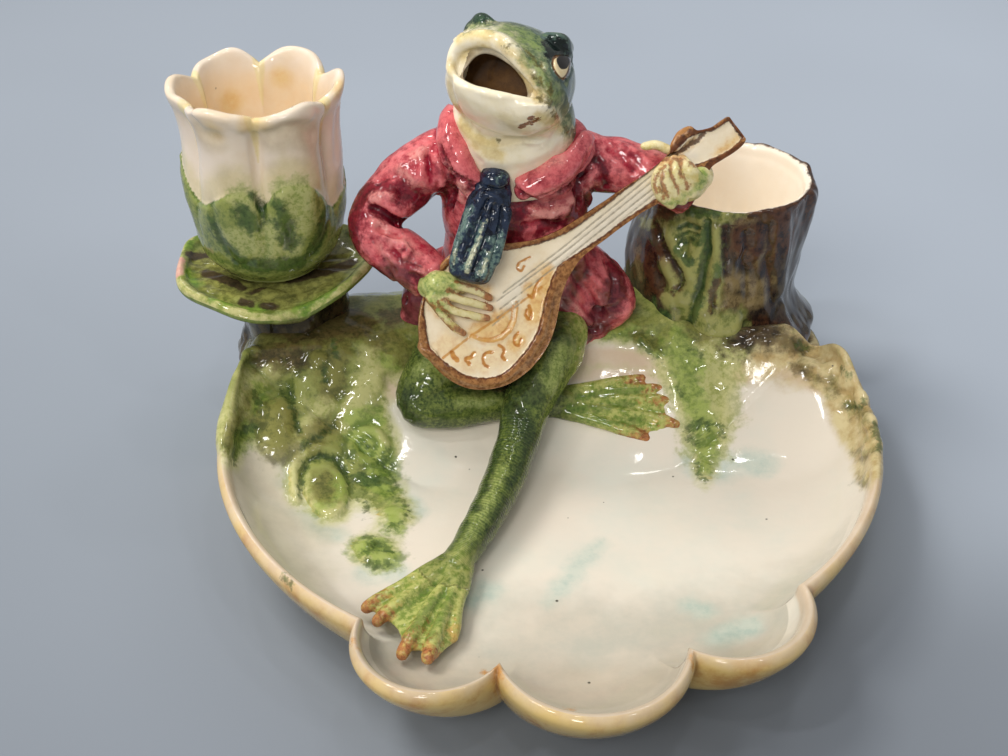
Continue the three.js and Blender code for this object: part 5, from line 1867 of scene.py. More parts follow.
@dataclass
class Tie:
    """The big tie that hangs from the collar over the mandolin, gathered in upright folds."""

    line: Rows = numbers("""
        -14.4,54.5,114.5,4.6 -15.8,51.6,108.5,7 -18.6,47.4,100.5,8 -21.6,43.8,92.5,8.2 -24,41,86.2,8.1
        -25,39.8,83.6,7.6
    """)
    flatness: float = 0.5
    facing: tuple[float, float, float] = (0.0, -0.86, 0.5)
    knot: tuple[float, float, float] = (-14.6, 53.0, 112.4)
    grain: float = 0.42

    def build(self) -> bpy.types.Object:
        """Builds and glazes the tie."""
        cloth = limb(self.line, 40, 10, self.flatness, self.facing, 0.4)
        clay = Clay(fuse("frog_tie", [cloth, ball(self.knot, (5.4, 4.4, 4.6))], self.grain, 3))
        surface = Surface(clay.piece)
        clay.carve(surface, """
            1.8 -1.1 487,200 476,228 464,258; 1.8 -1.1 494,206 486,234 474,270; 1.8 -1.1 503,208 498,238
            489,266; 1.8 -1.1 474,205 462,232 453,262; 2.4 1 490,218 479,244 467,270; 2.4 1 500,236 492,254
            483,276; 2.4 1 468,218 460,238 452,262; 2.4 1 509,212 504,236 497,262; 2.4 1 482,196 470,214
            462,236; 1.6 -.4 482,187 494,190 508,188; 2 .5 480,193 496,198 512,194
        """)
        clay.roughen(0.25, 5.0, 121, 1.0, 2)
        surface = Surface(clay.piece)
        clay.paint_hollows(6)
        daub(
            clay, surface,
            streak="""
                .7 480,236,.4 474,250 468,264 467,272,.8; .6 490,252,.5 484,266 480,274,.9; .5 456,250
                453,262,.7; .5 486,222 480,232,.6
            """,
            teal="""
                1.8 468,212 464,226 458,240; 4.2 498,244 493,258 487,272; 1.4 480,228 472,250 464,268; .7
                500,176 506,183; 1.6 456,244 452,262
            """,
        )
        return finish_piece(clay.piece, self.finish)

    finish: Finish = Finish(
        "navy_glaze", srgb("243042"),
        coats("""
            2a364e 0a0f1e -      1   3 1   6   2.6 4 .55 .8
            748e86 2c444e teal   -.3 3 2.8 2.6 1.4 5 .5  .9 .82
            ced0b2 849884 streak 0   1 .9  1.6 1.2 4 .4  .5 .85
        """),
        gloss=0.03, ripple=0.5, speck_share=0.0,
    )


# The frog's head


@dataclass
class FrogHead(Piece):
    """The frog's head, tipped back and singing, with its throat. Its own frame has x to the frog's left,
    -y to the snout and z to the crown."""

    place: tuple[float, float, float] = (-7.5, 63.0, 145.5)
    turn: float = 14.0
    tip: float = 30.0
    lean: float = 17.0
    # Rows of y, z, half width, height above and depth below
    skull: Rows = numbers("""
        18.5,-2,7,6,6 17,-2,12,11,10 13,-2,17.5,17,15 4,-2,21,19.6,17.5 -6,-2.5,21,18,17
        -14,-2.5,19.3,14,14.2 -19,-2.5,17.2,10,11.4 -21.4,-2.3,14.6,7.6,8.6
    """)
    throat: Rows = numbers("""
        -6.5,70.5,102,20,15 -6.5,70,112,22.5,16.5 -6.8,68.5,122,22.2,17.5 -7,67,131,21,17 -7,68,138,19,15
    """)
    eyes: tuple[tuple[float, float, float], ...] = ((-15.6, 0.5, 8.8), (11.0, 0.5, 11.4))
    eye_radius: float = 5.6
    # The crest of the lips seen from the front, x and z, from the right corner over the top and back below
    lips: Rows = numbers("""
        -18.2,-5.4,1.5 -18.4,.2,2.2 -15.2,4.4,2.8 -9.9,6.6,3.1 -4.8,7,3.2 -.1,5.9,3 4.2,3.7,2.7 8.9,1,2.4
        12.6,-1.9,2 15.6,-4.8,1.5 10.6,-7.1,1.6 4.4,-8.4,1.7 -2,-9.4,1.7 -9,-9.7,1.7 -15,-8.6,1.6
    """)
    hole: Rows = numbers("""
        -13.2,-6.2 -12.8,-3 -11.6,.2 -9.2,2.3 -6,2.9 -2.7,2.5 .8,1.5 4,0 6.9,-2.2 8.6,-5 8.2,-7 4.2,-8
        -.5,-8.6 -5.6,-8.8 -10.8,-8.1
    """)
    grain: float = 0.54

    @cached_property
    def frame(self) -> Matrix:
        """The head's place and turn, in millimetres."""
        turned = Matrix.Rotation(math.radians(-self.turn), 4, "Z")
        turned = turned @ Matrix.Rotation(math.radians(-self.tip), 4, "X")
        return Matrix.Translation(self.place) @ turned @ Matrix.Rotation(math.radians(self.lean), 4, "Y")

    def out(self, points: Points) -> np.ndarray:
        """Returns points of the head's frame in the ashtray's."""
        turned = np.array(self.frame.to_3x3())
        return np.asarray(points, float) @ turned.T + np.array(self.place)

    def local(self, points: Points) -> np.ndarray:
        """Returns points of the ashtray in the head's frame."""
        return (points - np.array(self.place)) @ np.array(self.frame.to_3x3())

    def lip_line(self) -> np.ndarray:
        """Returns the lips' closed line in the head's frame, each row a point and a radius."""
        rows = np.array([(x, -20.6 + 0.019 * x * x, z, r) for x, z, r in self.lips])
        return np.vstack([rows, rows[:1]])

    def funnel(self) -> bpy.types.Object:
        """Returns the hollow of the mouth as a solid, for cutting."""
        rim = self.lip_line()[:-1, :3]
        hole = np.array([(x, -15.0, z) for x, z in self.hole])
        middle = rim.mean(0)
        heart = hole.mean(0)
        sections = [
            middle + (rim - middle) * 1.3 + [0, -7, 0],
            middle + (rim - middle) * 1.04 + [0, -1.5, 0],
            mix(rim, hole, 0.12) + [0, 0.6, 0],
            mix(rim, hole, 0.6) + [0, 0.6, 0],
            hole,
            hole + [0, 1.2, 0],
            heart + (hole - heart) * [1.15, 1, 1.25] + [0, 4, 0],
            heart + (hole - heart) * [1.2, 1, 1.4] + [0, 9, 0],
            heart + (hole - heart) * [0.9, 1, 1.1] + [0, 15, 0],
        ]
        rings = []
        for points in sections:
            closed = spline([*points[-2:], *points, *points[:2]], 6)
            rings.append(self.out(closed[12:-7]))
        ends = [np.tile(ring.mean(0), (len(ring), 1)) for ring in (rings[0], rings[-1])]
        return wrapped_grid("funnel", np.array([ends[0], *rings, ends[1]]))

    def shape(self) -> bpy.types.Object:
        """Returns the plain head with its throat."""
        rings = []
        angle = np.linspace(0.0, 2 * math.pi, 88, endpoint=False)
        for y, z, half, up, down in spline(self.skull, 6):
            tall = np.where(np.sin(angle) > 0, up, down)
            square = 1 + 0.05 * np.sin(2 * angle) ** 2
            rings.append(self.out(np.column_stack([
                half * square * np.cos(angle), np.full(len(angle), y), z + tall * square * np.sin(angle)
            ])))
        ends = [np.tile(ring.mean(0), (len(angle), 1)) for ring in (rings[0], rings[-1])]
        skull = wrapped_grid("frog_head", np.array([ends[0], *rings, ends[1]]))
        tube = self.lip_line()
        tube[:, :3] = self.out(tube[:, :3])
        radius = self.eye_radius
        turned = self.frame.to_3x3()
        parts = [skull, column(self.throat, 88)]
        for side, eye in zip((-1, 1), self.eyes):
            parts.append(ball(self.out([eye])[0], (radius, radius * 1.1, radius), turned))
            steps = ((-4.0, -5.0, 3.4, 2.4), (0.0, -3.5, 4.0, 3.2), (1.6, 3.0, 3.6, 3.0))
            brow = [[*self.out([np.array(eye) + [side * x, y, z]])[0], size] for x, y, z, size in steps]
            parts.append(limb(brow, 20, 6))
        cheek = self.out([[12.0, 2.0, -8.0], [11.0, 4.0, -14.0]])
        parts.append(limb([[*cheek[0], 8.0], [*cheek[1], 8.0], [4.0, 66.0, 124.0, 8.0]], 24, 6))
        head = fuse("frog_head", parts, self.grain, 4)
        cutter = self.funnel()
        apply_modifier(head, "BOOLEAN", operation="DIFFERENCE", object=cutter, solver="EXACT")
        bpy.data.objects.remove(cutter)
        return fuse("frog_head", [head, limb(tube, 20, 8)], self.grain, 4)

    def carve(self, clay: Clay) -> None:
        """Works the jaw, the lids and the folds of the throat."""
        surface = Surface(clay.piece)
        clay.carve(surface, """
            3 -1 450,78 450,89 457,107 468,126 482,137 499,142 522,138 545,131; 2.4 -.5 450,112 456,128
            466,146 480,160; 4 .5 470,152 492,162 520,160 550,148; 2.4 -.7 540,92 550,100 560,108 566,120; 5
            -.4 505,112 515,106 530,104; 2.2 -.8 542,64 549,74 556,82 566,82; 2.6 -.5 521,62 530,76 541,90;
            4 -.5 523,40 535,50 543,62; .8 -.5 497,60 491,70 490,80
        """)
        rise = self.both(clay, surface, self.lid)
        clay.push(0.6 * smooth_step(-0.3, 0.8, rise) - 0.45 * np.exp(-((rise + 0.5) / 0.5) ** 2))
        clay.roughen(0.16, 6.0, 141, 1.0, 2)

    def pair(self, clay: Clay) -> list[tuple[np.ndarray, np.ndarray]]:
        """Returns the points and normals of the head, and the same mirrored in the head's middle plane."""
        mirror = np.array([-1.0, 1.0, 1.0])
        turned = np.array(self.frame.to_3x3())
        middle = np.mean(self.eyes, axis=0)
        shift = np.array([2.0 * middle[0], 0.0, self.eyes[1][2] - self.eyes[0][2]])
        points = self.out(self.local(clay.points) * mirror + shift)
        normals = ((clay.normals @ turned) * mirror) @ turned.T
        return [(clay.points, clay.normals), (points, normals)]

    def both(self, clay: Clay, surface: Surface, area: Area) -> np.ndarray:
        """Returns how far inside a patch, or inside its mirror image where unseen, each point lies."""
        shown, mirrored = [area.measure(points, normals, surface) for points, normals in self.pair(clay)]
        towards = -np.einsum("ij,ij->i", CAMERA.pixels(clay.points)[2], clay.normals)
        return np.maximum(shown, np.where(towards < -0.05, mirrored, -area.reach))

    green_edge: Area = Area("""
        458,10 463,28 468,27 480,24 494,25 506,31 516,42 524,52 532,66 539,78 546,90 553,101 558,112 563,124
        568,138 580,150 600,140 600,60 590,10 540,-10 480,-5
    """, 30)
    brow: Area = Area("543,45 547,39 555,36.5 563,36 569,42 571,52 566,57 557,58 549,60 544,53")
    far_brow: Area = Area("458,31 462,12 476,6 492,10 500,20 494,23 484,22 474,25 468,29")
    iris: Area = Area("553.5,62 555.5,70 562,77.5 567.5,70.5 569,60 563,57 557,57.5")
    pupil: Area = Area("557,58 557.5,64 561.5,69 567,68 569.5,62 568.5,56 562,55")
    lid: Area = Area("552,61 554,71 562,79.5 569,73 570.5,58 562,55 555,56")

    def paint(self, clay: Clay) -> None:
        """Paints the masks that the head's glazes follow."""
        surface = Surface(clay.piece)
        clay.paint_hollows(6)
        local = self.local(clay.points)
        towards = -np.einsum("ij,ij->i", CAMERA.pixels(clay.points)[2], clay.normals)
        unseen = np.minimum(local[:, 1] * 0.8 + local[:, 2] * 0.35 + 2.0, clay.points[:, 2] - 124.0)
        green = self.green_edge.depth(clay, surface)
        share = smooth_step(-0.25, 0.2, towards)
        clay.paint("green", mix(np.clip(unseen, -12, 12), np.clip(green, -12, 12), share))
        for name in ("brow", "iris", "pupil", "lid"):
            clay.paint(name, self.both(clay, surface, getattr(self, name)))
        clay.paint("far_brow", self.far_brow.depth(clay, surface))
        # The gullet: painted dark brown, partly the unglazed inside of the mouth and partly painted shade
        # deep in the hole
        depth = local[:, 1] + 15.4
        within = (np.abs(local[:, 0] + 2) < 12.2) & (np.abs(local[:, 2] + 3) < 10.0) & (local[:, 1] < 2.0)
        gullet = np.where(within, depth, -6.0)
        clay.paint("gullet", gullet)
        clay.paint("dull", np.maximum(gullet, cover(clay, surface, strokes("3.2 560,98 563,110 567,122"))))
        daub(
            clay, surface,
            fresh="""
                3.4 500,30 512,38 524,50 534,64; 3 541,76 547,88 554,98; 4 515,28 530,34 540,44; 2.4 478,24
                492,27
            """,
            yellow="""
                2.2 523,78 530,88 538,96; 3 458,34 472,31 486,32; 2.4 476,143 484,150 500,156; 1.8 455,106
                460,122 470,136; 1.6 462,58 470,50 486,47; 2.4 468,134 478,142 492,146; 1.6 500,42 512,52
                524,66 536,82; 2.2 540,118 552,122 560,128; 1.4 452,64 450,70
            """,
            shade="""
                2.2 456,107 468,126 482,137 499,142 522,138 545,131; 2.6 505,118 512,126 528,132; 1.6 449,85
                452,100
            """,
            smear="1 521,127 525,124; .9 527,124 531,124; 1.1 532,122 537,120; .7 529,119 532,117",
            spot="""
                1.3 540,98 548,104; .9 536,76 542,82; .8 552,113 558,119; .9 565,128 567,132; .2 499,140
                500,140.5; 1.1 528,52 534,60 541,68; .4 504,49 508,46; .8 547,84 551,92
            """,
        )

    finish: Finish = Finish(
        "frog_head_glaze", srgb("f0e6c4"),
        coats("""
            fff7e2 faeece -        1    3   1   6   9   2.4 .45 .3
            e6d084 ccac54 yellow   0    3.4 1.2 4   4   3   .35 .5 .65
            ceba7c ac9454 shade    0    4   1.2 4   4   3   .35 .6 .45
            b0b07a 7c8854 green    1.2  5   2.2 4   3   3.4 .45 .6 .7
            808e66 425a40 green    -1   4   3   4   2.6 4   .5  .7 .88
            546c68 284246 green    -4.6 6   4   5   3   3.6 .5  .5 .82
            849854 466236 fresh    -.6  4   2.8 3   1.8 4.5 .45 .6 .7
            70642c 3e3618 spot     0    1.6 1.4 1.8 1.6 3.5 .45 .5 .8
            8c4c26 541e0e smear    0    .7  .9  1.4 1   3.5 .5  .3 .95
            3a5442 102224 far_brow 0    2.4 1.6 2   1.6 3.5 .5  .3 .95
            162220 060c0e brow     0    2.4 2.2 1.6 1.6 3.5 .5  .3 .97
            6e4a28 422816 lid      .1   .5  .25 1.6 1.6 2   .5  .2 .95
            f0e0b8 e4ca96 iris     0    .3  .1  2   2   2   .4  .2
            140805 080403 pupil    0    .3  .08 2   2   2   .5  .2
            704e24 4a3014 gullet   -.4  3   .3  4   5   2   .5  .3
        """),
        gloss=0.07, matt="dull", speck_share=0.02,
    )


# The frog's legs


@dataclass
class FrogLegs(Piece):
    """The frog's crossed legs and webbed feet."""

    right_leg: Rows = numbers("""
        -24,62,47,13 -36,50,38.5,11.6 -43.6,40.5,30.5,9.4 -34,39.5,28.5,8.6 -18,42,26.5,7.6 0,44,24,6.5
        10,44.5,22.5,5.6
    """)
    left_leg: Rows = numbers("""
        9,60,43,12 6,52,41,12 1,43,38,10.5 -5,32,33,9 -12,14,25,7.5 -21,-6,20.5,6.7 -31,-24,18,5.8
        -37.5,-34,17,5
    """)
    # Each foot: its ankle, then the tips of its toes
    right_foot: Rows = numbers("8,44.5,22.8 40.5,49.5,27.5 47,46,25 50,41,22 50.5,33,17.5 38.7,29,15")
    left_foot: Rows = numbers("-37,-34,16 -66,-50,17 -62.9,-57,17.5 -56,-71.5,17.5 -48.2,-73,16.5 -40,-63,14")
    # How far the web reaches between each two toes
    right_web: tuple[float, ...] = (0.93, 0.95, 0.95, 0.93)
    left_web: tuple[float, ...] = (0.93, 0.86, 0.9, 0.99)
    grain: float = 0.64

    def foot(self, points: Line, webs: Sequence[float]) -> list[bpy.types.Object]:
        """Returns a foot's toes, with a thin web between each two."""
        tips = np.array(points[1:], float)
        parts = []
        for tip in tips:
            start = self.root(points, tip)
            bend = mix(start, tip, 0.5) + [0, 0, 0.8]
            knuckle = mix(start, tip, 0.86) + [0, 0, 0.6]
            parts.append(limb([[*start, 3.8], [*bend, 2.5], [*knuckle, 2.3], [*tip, 2.1]], 16, 8))
        for first, second, web in zip(tips, tips[1:], webs):
            for share in (0.14, 0.32, 0.5, 0.68, 0.86):
                between = mix(first, second, share)
                start = self.root(points, between)
                end = mix(start, between, web - 0.04 * math.sin(math.pi * share)) + [0, 0, -0.3]
                middle = mix(start, between, 0.5) + [0, 0, -0.2]
                parts.append(limb([[*start, 3.4], [*middle, 2.9], [*end, 2.4]], 14, 6, 0.6))
        return parts

    def root(self, points: Line, tip: np.ndarray) -> np.ndarray:
        """Returns where a toe leaves the ankle."""
        middle = np.mean(np.array(points[1:], float), axis=0)
        return np.array(points[0], float) + 0.2 * (tip - middle)

    def shape(self) -> bpy.types.Object:
        """Returns both legs with their feet."""
        parts = [limb(self.right_leg), limb(self.left_leg), *self.foot(self.right_foot, self.right_web),
                 *self.foot(self.left_foot, self.left_web)]
        return fuse("frog_legs", parts, self.grain, 2)

    def carve(self, clay: Clay) -> None:
        """Works the knees, the creases of the ankles and the bones of the feet."""
        surface = Surface(clay.piece)
        clay.carve(surface, """
            1.6 -.8 440,556 450,561 458,567; 2.4 -.8 505,395 515,402 520,412; 4 -.8 446,376 462,388 480,392;
            5 .8 420,368 436,378 450,372; 4 -.6 410,392 424,402 440,400; 2 -.5 445,575 428,590 412,606; 2
            -.5 452,580 440,605 428,630
        """)
        clay.roughen(0.4, 9.0, 161, 1.0, 2)
        clay.roughen(0.07, 1.6, 163, 1.0, 1)

    def paint(self, clay: Clay) -> None:
        """Paints the masks that the legs' glazes follow."""
        surface = Surface(clay.piece)
        clay.paint_hollows(6)
        shin = np.array(self.left_leg, float)[3:, :3]
        gap, along = line_distance(clay.points, shin)
        length = np.linalg.norm(np.diff(shin, axis=0), axis=1).sum()
        clay.paint("along", np.where(gap < 12.0, along * length - 8.0, -5.0))
        tips, toes = [], []
        for points in (self.right_foot, self.left_foot):
            for index, tip in enumerate(points[1:]):
                share = 0.72 + 0.08 * math.sin(2.5 * index)
                start = mix(self.root(points, np.array(tip)), np.array(tip), share)
                if index < 4 or points is self.right_foot:
                    tips.append(clay.field([[*start, 0.4], [*tip, 1.0]], 3.2))
                start = mix(self.root(points, np.array(tip)), np.array(tip), 0.46)
                toes.append(clay.field([[*start, 0.2], [*tip, 1.2]], 2.6))
        clay.paint("tip", np.max(tips, axis=0))
        clay.paint("toe", np.max(toes, axis=0))
        foot = np.where(clay.points[:, 1] > 10, (clay.points[:, 0] - 10.0) * 0.8, -30.0 - clay.points[:, 1])
        clay.paint("foot", foot)
        bones = []
        high = 1.6
        for points in (self.right_foot, self.left_foot):
            for tip in points[1:]:
                start = self.root(points, np.array(tip))
                bone = [mix(start, np.array(tip), share) + [0, 0, high] for share in (0.3, 0.6, 1.0)]
                bones.append(clay.field(bone, 2.1))
        clay.paint("bone", np.max(bones, axis=0))
        daub(
            clay, surface,
            web="""
                1.6 452,590,.6 440,612 430,635; 1.6 446,592,.6 425,610 408,636; 1.4 436,585,.6 412,604
                392,624; 1.8 570,410 600,408 630,404; 1.6 580,398 610,392 640,390; 1.6 580,418 610,422
                640,420
            """,
            # light: lighter green, and painted highlight down the shin and on the knees
            light="""
                4 424,366 436,362 446,372; 3.2 560,350 556,368 552,386; 2.4 460,402 480,402 498,398; 2.6
                500,470 492,492 482,516; 2.6 540,380 534,396; 2 478,520 466,540 456,552
            """,
            # dark: darker green, and painted shade along the shin, under the knee and in the creases of the
            # knee and ankle
            dark="""
                5 505,370 520,380 530,392; 4 406,396 402,410 412,420; 3 540,335 560,332 575,338; 1 440,556
                450,561 458,566; 4 512,408 522,420 530,436; 3.5 470,380 490,384 504,388; 2 528,440 522,462
                512,484; 1.6 498,450 488,478 474,508; 1.6 500,420 498,440; 1.4 506,500 494,524 480,548
            """,
        )

    finish: Finish = Finish(
        "frog_leg_glaze", srgb("607036"),
        coats("""
            768440 3a4c22 -     1   3   1   6   1.3 5   .5  .5
            566834 2c3a20 -     -.4 4   2.4 8   1   5   .5  0  .8
            a4b068 748642 light -.5 4   1.8 5   1.2 5   .45 .4 .75
            3e4e2a 1e2a1a dark  0   4   2   5   1.3 4.5 .5  .4 .85
            babe70 7c903e foot  -3  10  2   6   2   4.5 .45 .6 .92
            cec882 a09c4e bone  -.9 2.2 1.6 2.5 1.6 4   .45 .5 .6
            d2b268 a87c3c toe   -.4 2.4 2   2.2 1.4 4   .45 .5 .8
            5c7c30 3e5a22 web   0   2.4 1.6 2.5 1.6 4   .45 .4 .65
            b07046 70321e tip   0   3   2   2   1.3 4.5 .45 .6 .92
        """),
        gloss=0.07, speck_share=0.0, rib_height=0.045, ribs="along", rib_step=1.05,
    )


# The mandolin and the hands on it


@dataclass
class Mandolin(Piece):
    """The mandolin: a pear-shaped body with a raised edge, a neck with string lines and a flat peg head."""

    tail: tuple[float, float, float] = (-41.0, 33.0, 56.0)
    head: tuple[float, float, float] = (73.0, 68.0, 120.5)
    face: tuple[float, float, float] = (-0.03, -0.89, 0.45)
    # The outline's upper and lower side: how far from the tail, and how far across
    upper: Rows = numbers("""
        -.6,0 .3,4.5 2.5,8.5 6,12.8 11,17.3 16,20.6 22,22.8 28,23.4 34,22 40,18.8 45.1,15.2 50,12.4 56,9.7
        63.6,8 71.8,7.3 80.3,7 88.7,6.7 101.4,6.3 108,6.8 112,8 115,10.2 118,11.2 120.5,10.4 122,8.6
        124.7,6.9 128,5.8 132,5.7 134.8,5.6
    """)
    lower: Rows = numbers("""
        -.6,0 -.4,-5 .7,-10.8 3,-16.2 6.6,-20.6 11.6,-23.9 17,-25.9 22.4,-26.4 28,-25.9 33.4,-24.4
        38.6,-21.8 43.2,-18.4 46.8,-15 50.4,-11.6 54.6,-8.5 58.8,-6.4 64.4,-4.6 74,-4.3 81,-4.1 90,-4.2
        97,-5 103,-5.5 110,-5.8 117.5,-6.2 120.4,-5.6 124.3,-5.8 129,-6.1 132.6,-5.9 135.6,-5
    """)
    body_depth: float = 8.4
    neck_depth: float = 5.6
    stations: int = 250
    face_points: int = 124
    back_points: int = 56
    groove: float = 0.25
    inlay: Area = Area("""
        505,250 520,248 540,243 560,236 575,228 590,217 605,206 620,194 640,179 655,167 668,156 676,149
        690,137 704,132 712,131 722,125 729,121 735,129 742,137 738,143 728,151 716,157 704,162 690,168
        672,188 650,203 620,223 605,235 590,245 575,255 562,263 555,272 550,285 545,300 542,315 538,330
        530,345 520,358 508,370 495,377 480,378 465,375 450,366 440,358 430,348 427,335 425,320 424,305
        430,290 440,275 452,262 470,252 488,249
    """)

    @cached_property
    def axes(self) -> np.ndarray:
        """The directions along, across and out of the face, as rows."""
        along = np.array(self.head) - np.array(self.tail)
        along /= np.linalg.norm(along)
        out = np.array(self.face)
        out -= along * (out @ along)
        out /= np.linalg.norm(out)
        return np.array([along, np.cross(out, along), out])

    def place(self, rows: Points) -> np.ndarray:
        """Returns points given as along, across and out in the ashtray's frame."""
        return np.asarray(rows, float) @ self.axes + np.array(self.tail)

    def over(self, across: float, down: float, lift: float) -> list[float]:
        """Returns the place at a pixel of the photograph that far in front of the face."""
        eye, way = np.array(CAMERA.place), np.array(CAMERA.ray(across, down))
        out = self.axes[2]
        reach = ((np.array(self.tail) - eye) @ out + lift) / (way @ out)
        return list(eye + way * reach)

    def side(self, rows: Line) -> np.ndarray:
        """Returns a side of the outline in even steps."""
        curve = spline(rows, 12)
        steps = np.concatenate([[0.0], np.cumsum(np.linalg.norm(np.diff(curve, axis=0), axis=1))])
        even = np.linspace(0.0, steps[-1], self.stations)
        return np.column_stack([np.interp(even, steps, curve[:, axis]) for axis in (0, 1)])

    def shape(self) -> bpy.types.Object:
        """Returns the plain mandolin."""
        upper, lower = self.side(self.upper), self.side(self.lower)
        rings = []
        share = np.linspace(0.0, 1.0, self.face_points)[:, None]
        angle = np.linspace(0.0, math.pi, self.back_points + 2)[1:-1]
        for high, low in zip(upper, lower):
            middle, half = (high + low) / 2, (high - low) / 2
            station = middle[0]
            depth = mix(self.body_depth, self.neck_depth, float(smooth_step(40.0, 66.0, np.array(station))))
            width = max(float(np.linalg.norm(half)), 0.1)
            depth = min(depth, 1.6 * width + 1.0)
            front = high + (low - high) * share
            front = np.column_stack([front, np.zeros(len(front))])
            swing = -np.sign(np.cos(angle)) * np.abs(np.cos(angle)) ** 0.8
            back = middle + half * swing[:, None]
            back = np.column_stack([back, -depth * np.sin(angle) ** 0.62])
            rings.append(np.vstack([front, back]))
        for end in (0, -1):
            ring = rings[end]
            middle = ring.mean(0)
            inner = [middle + (ring - middle) * share for share in (0.0, 0.4, 0.75)]
            rings = [*inner, *rings] if end == 0 else [*rings, *inner[::-1]]
        return wrapped_grid("mandolin", np.array([self.place(ring) for ring in rings]))

    def carve(self, clay: Clay) -> None:
        """Raises the edge and the tail button and cuts the lines of the face."""
        clay.smooth(4)
        surface = Surface(clay.piece)
        out = self.axes[2]
        facing = smooth_step(0.5, 0.8, clay.normals @ out)
        inside = self.inlay.depth(clay, surface)
        clay.push(0.9 * smooth_step(0.4, -0.4, inside) * facing, out)
        clay.push(-0.3 * smooth_step(-0.4, 0.5, inside) * facing, out)
        local = (clay.points - np.array(self.tail)) @ self.axes.T
        body = smooth_step(56.0, 44.0, local[:, 0]) * smooth_step(2.0, -6.0, local[:, 1])
        clay.push(-1.9 * smooth_step(-1.8, -4.6, inside) * facing * body, out)
        clay.smooth(1)
        surface = Surface(clay.piece)
        for pixels in self.strings:
            clay.push(-self.groove * clay.brush(surface.line(pixels), 0.75), out)
        clay.push(0.5 * clay.brush(surface.line(self.ring), 1.6), out)
        clay.push(-0.35 * clay.brush(surface.line(self.ring_outside), 0.7), out)
        for scroll in self.scrolls:
            clay.push(-0.3 * clay.brush(surface.line(self.curve(scroll.pixels)), scroll.width), out)
        clay.carve(surface, """
            3 1.4 421,347 428,352 433,354; 3.4 1.6 676,146 682,137 689,133; 1.4 -.6 690,150 700,138 706,133;
            1.6 -.8 670,157 680,150 690,146
        """)
        clay.roughen(0.1, 3.0, 181, 1.0, 2)

    strings: tuple[Rows, ...] = lines("""
        497,301 560,256 652,182; 500,309 562,262 655,187; 497,318 561,268 656,193; 492,326 560,272 655,199;
        503,293 560,250 651,176
    """)
    edge_line: Rows = numbers("443,358 458,346 472,335 500,317 530,296 556,276")
    ring: Rows = numbers("473,337 481,340.5 492,341.5 503,338.5 511,331 515.5,321 517,310 516.5,302")
    ring_outside: Rows = numbers("472,334.5 480,338 491,338.8 500,335.5 507.5,328 511.5,318 513,306")
    scrolls: tuple[Stroke, ...] = strokes("""
        1.3 452,353 454,357 457,360; 1.1 474,353 471,357 466,359 469,364; .8 492,352 486,353 483,358 484,364
        488,367; .8 499,345 503,348 504,352 502,356 505,360; .8 518,333 514,338 515,344 519,345 521,339; .9
        529,306 531,312 530,319 526,316 527,310; .7 542,278 537,284 534,291 533,298 528,295; .6 530,257
        524,260 519,263 517,268 521,271 524,266
    """)

    def curve(self, pixels: Line) -> list[tuple[float, float]]:
        """Returns a drawn line of the ornament as a smooth curve."""
        return [tuple(point) for point in spline(pixels, 5)]

    def paint(self, clay: Clay) -> None:
        """Paints the masks that the mandolin's glazes follow."""
        surface = Surface(clay.piece)
        clay.paint_hollows(6)
        out = self.axes[2]
        facing = clay.normals @ out
        inside = self.inlay.depth(clay, surface)
        edge = np.where(facing > -0.2, -inside, 4.0) + 0.1
        clay.paint("edge", edge)
        body = smooth_step(60.0, 50.0, ((clay.points - np.array(self.tail)) @ self.axes.T)[:, 0])
        clay.paint("side", np.minimum(edge - 2.3, 5.0) - 6.0 * (1.0 - body))
        local = (clay.points - np.array(self.tail)) @ self.axes.T
        clay.paint("back", np.minimum((-3.2 - local[:, 2]) * 1.5, 6.0))
        strings = [Stroke(0.3, pixels) for pixels in self.strings]
        clay.paint("string", cover(clay, surface, strings))
        gold = [Stroke(0.45, self.edge_line), Stroke(0.5, self.ring), Stroke(0.4, self.ring_outside)]
        clay.paint("line", cover(clay, surface, gold))
        scrolls = [Stroke(scroll.width * 0.62, tuple(self.curve(scroll.pixels))) for scroll in self.scrolls]
        clay.paint("scroll", cover(clay, surface, scrolls))
        daub(
            clay, surface,
            honey="5 448,344 462,358 482,361 508,350 526,326 536,298 544,276",
            amber="""
                4.2 500,322 494,328 486,330; 2 480,325 472,333; 2.2 515,345 520,340; 1.6 430,300 440,312
                450,318; 2.6 530,290 538,300 534,316; 2 548,272 545,290; 1.8 692,140 684,146 676,152; 1.4
                738,136 728,146 716,153; 1.6 450,276 470,284 488,290
            """,
            grey="3.2 505,300 560,262 620,214 650,192; 1.6 684,156 694,156",
            nut="""
                1.2 672,150 680,142 683,138; 1 690,132 700,131 712,129; .8 672,156 684,149 694,142 704,134;
                1.1 730,120 738,129 745,137; 1.3 742,145 730,154 714,162 708,168
            """,
        )

    finish: Finish = Finish(
        "mandolin_glaze", srgb("ece0c4"),
        coats("""
            faeed6 ecdab8 -      1   3   1   6   9   2   .4
            f4eee0 e4dccc grey   0   4   .8  5   5   2   .4  0  .6
            f0d49c d8a65a honey  0   5   2   5   2.4 3.5 .35 .5 .5
            ecc67c ce8e38 amber  0   3.6 1   3   3   3   .35 .4 .75
            d6a04c be7828 line   0   .4  .15 2   2   2   .45 .5 .8
            ce923c b26a20 scroll .12 .5  .2  1.4 1.6 3   .45 .5 .9
            b0a692 8c8270 string 0   .28 .12 2   2   3   .4  0  .7
            703e24 482414 edge   .1  .4  .25 1.6 2.4 3   .5  .5
            b4824e 744826 edge   -.6 .8  .6  1.8 1.6 3.4 .5  .6 .85
            ae8254 70482a side   0   .8  .7  1.8 1.6 3.4 .45 .4 .9
            a88e6e 70583e back   0   2.4 1.4 4   1.2 5   .45 .3 .85
            6e3e22 3e2014 nut    0   .6  .5  1.6 1.6 3   .5  .4 .85
        """),
        gloss=0.09, speck_share=0.0,
    )


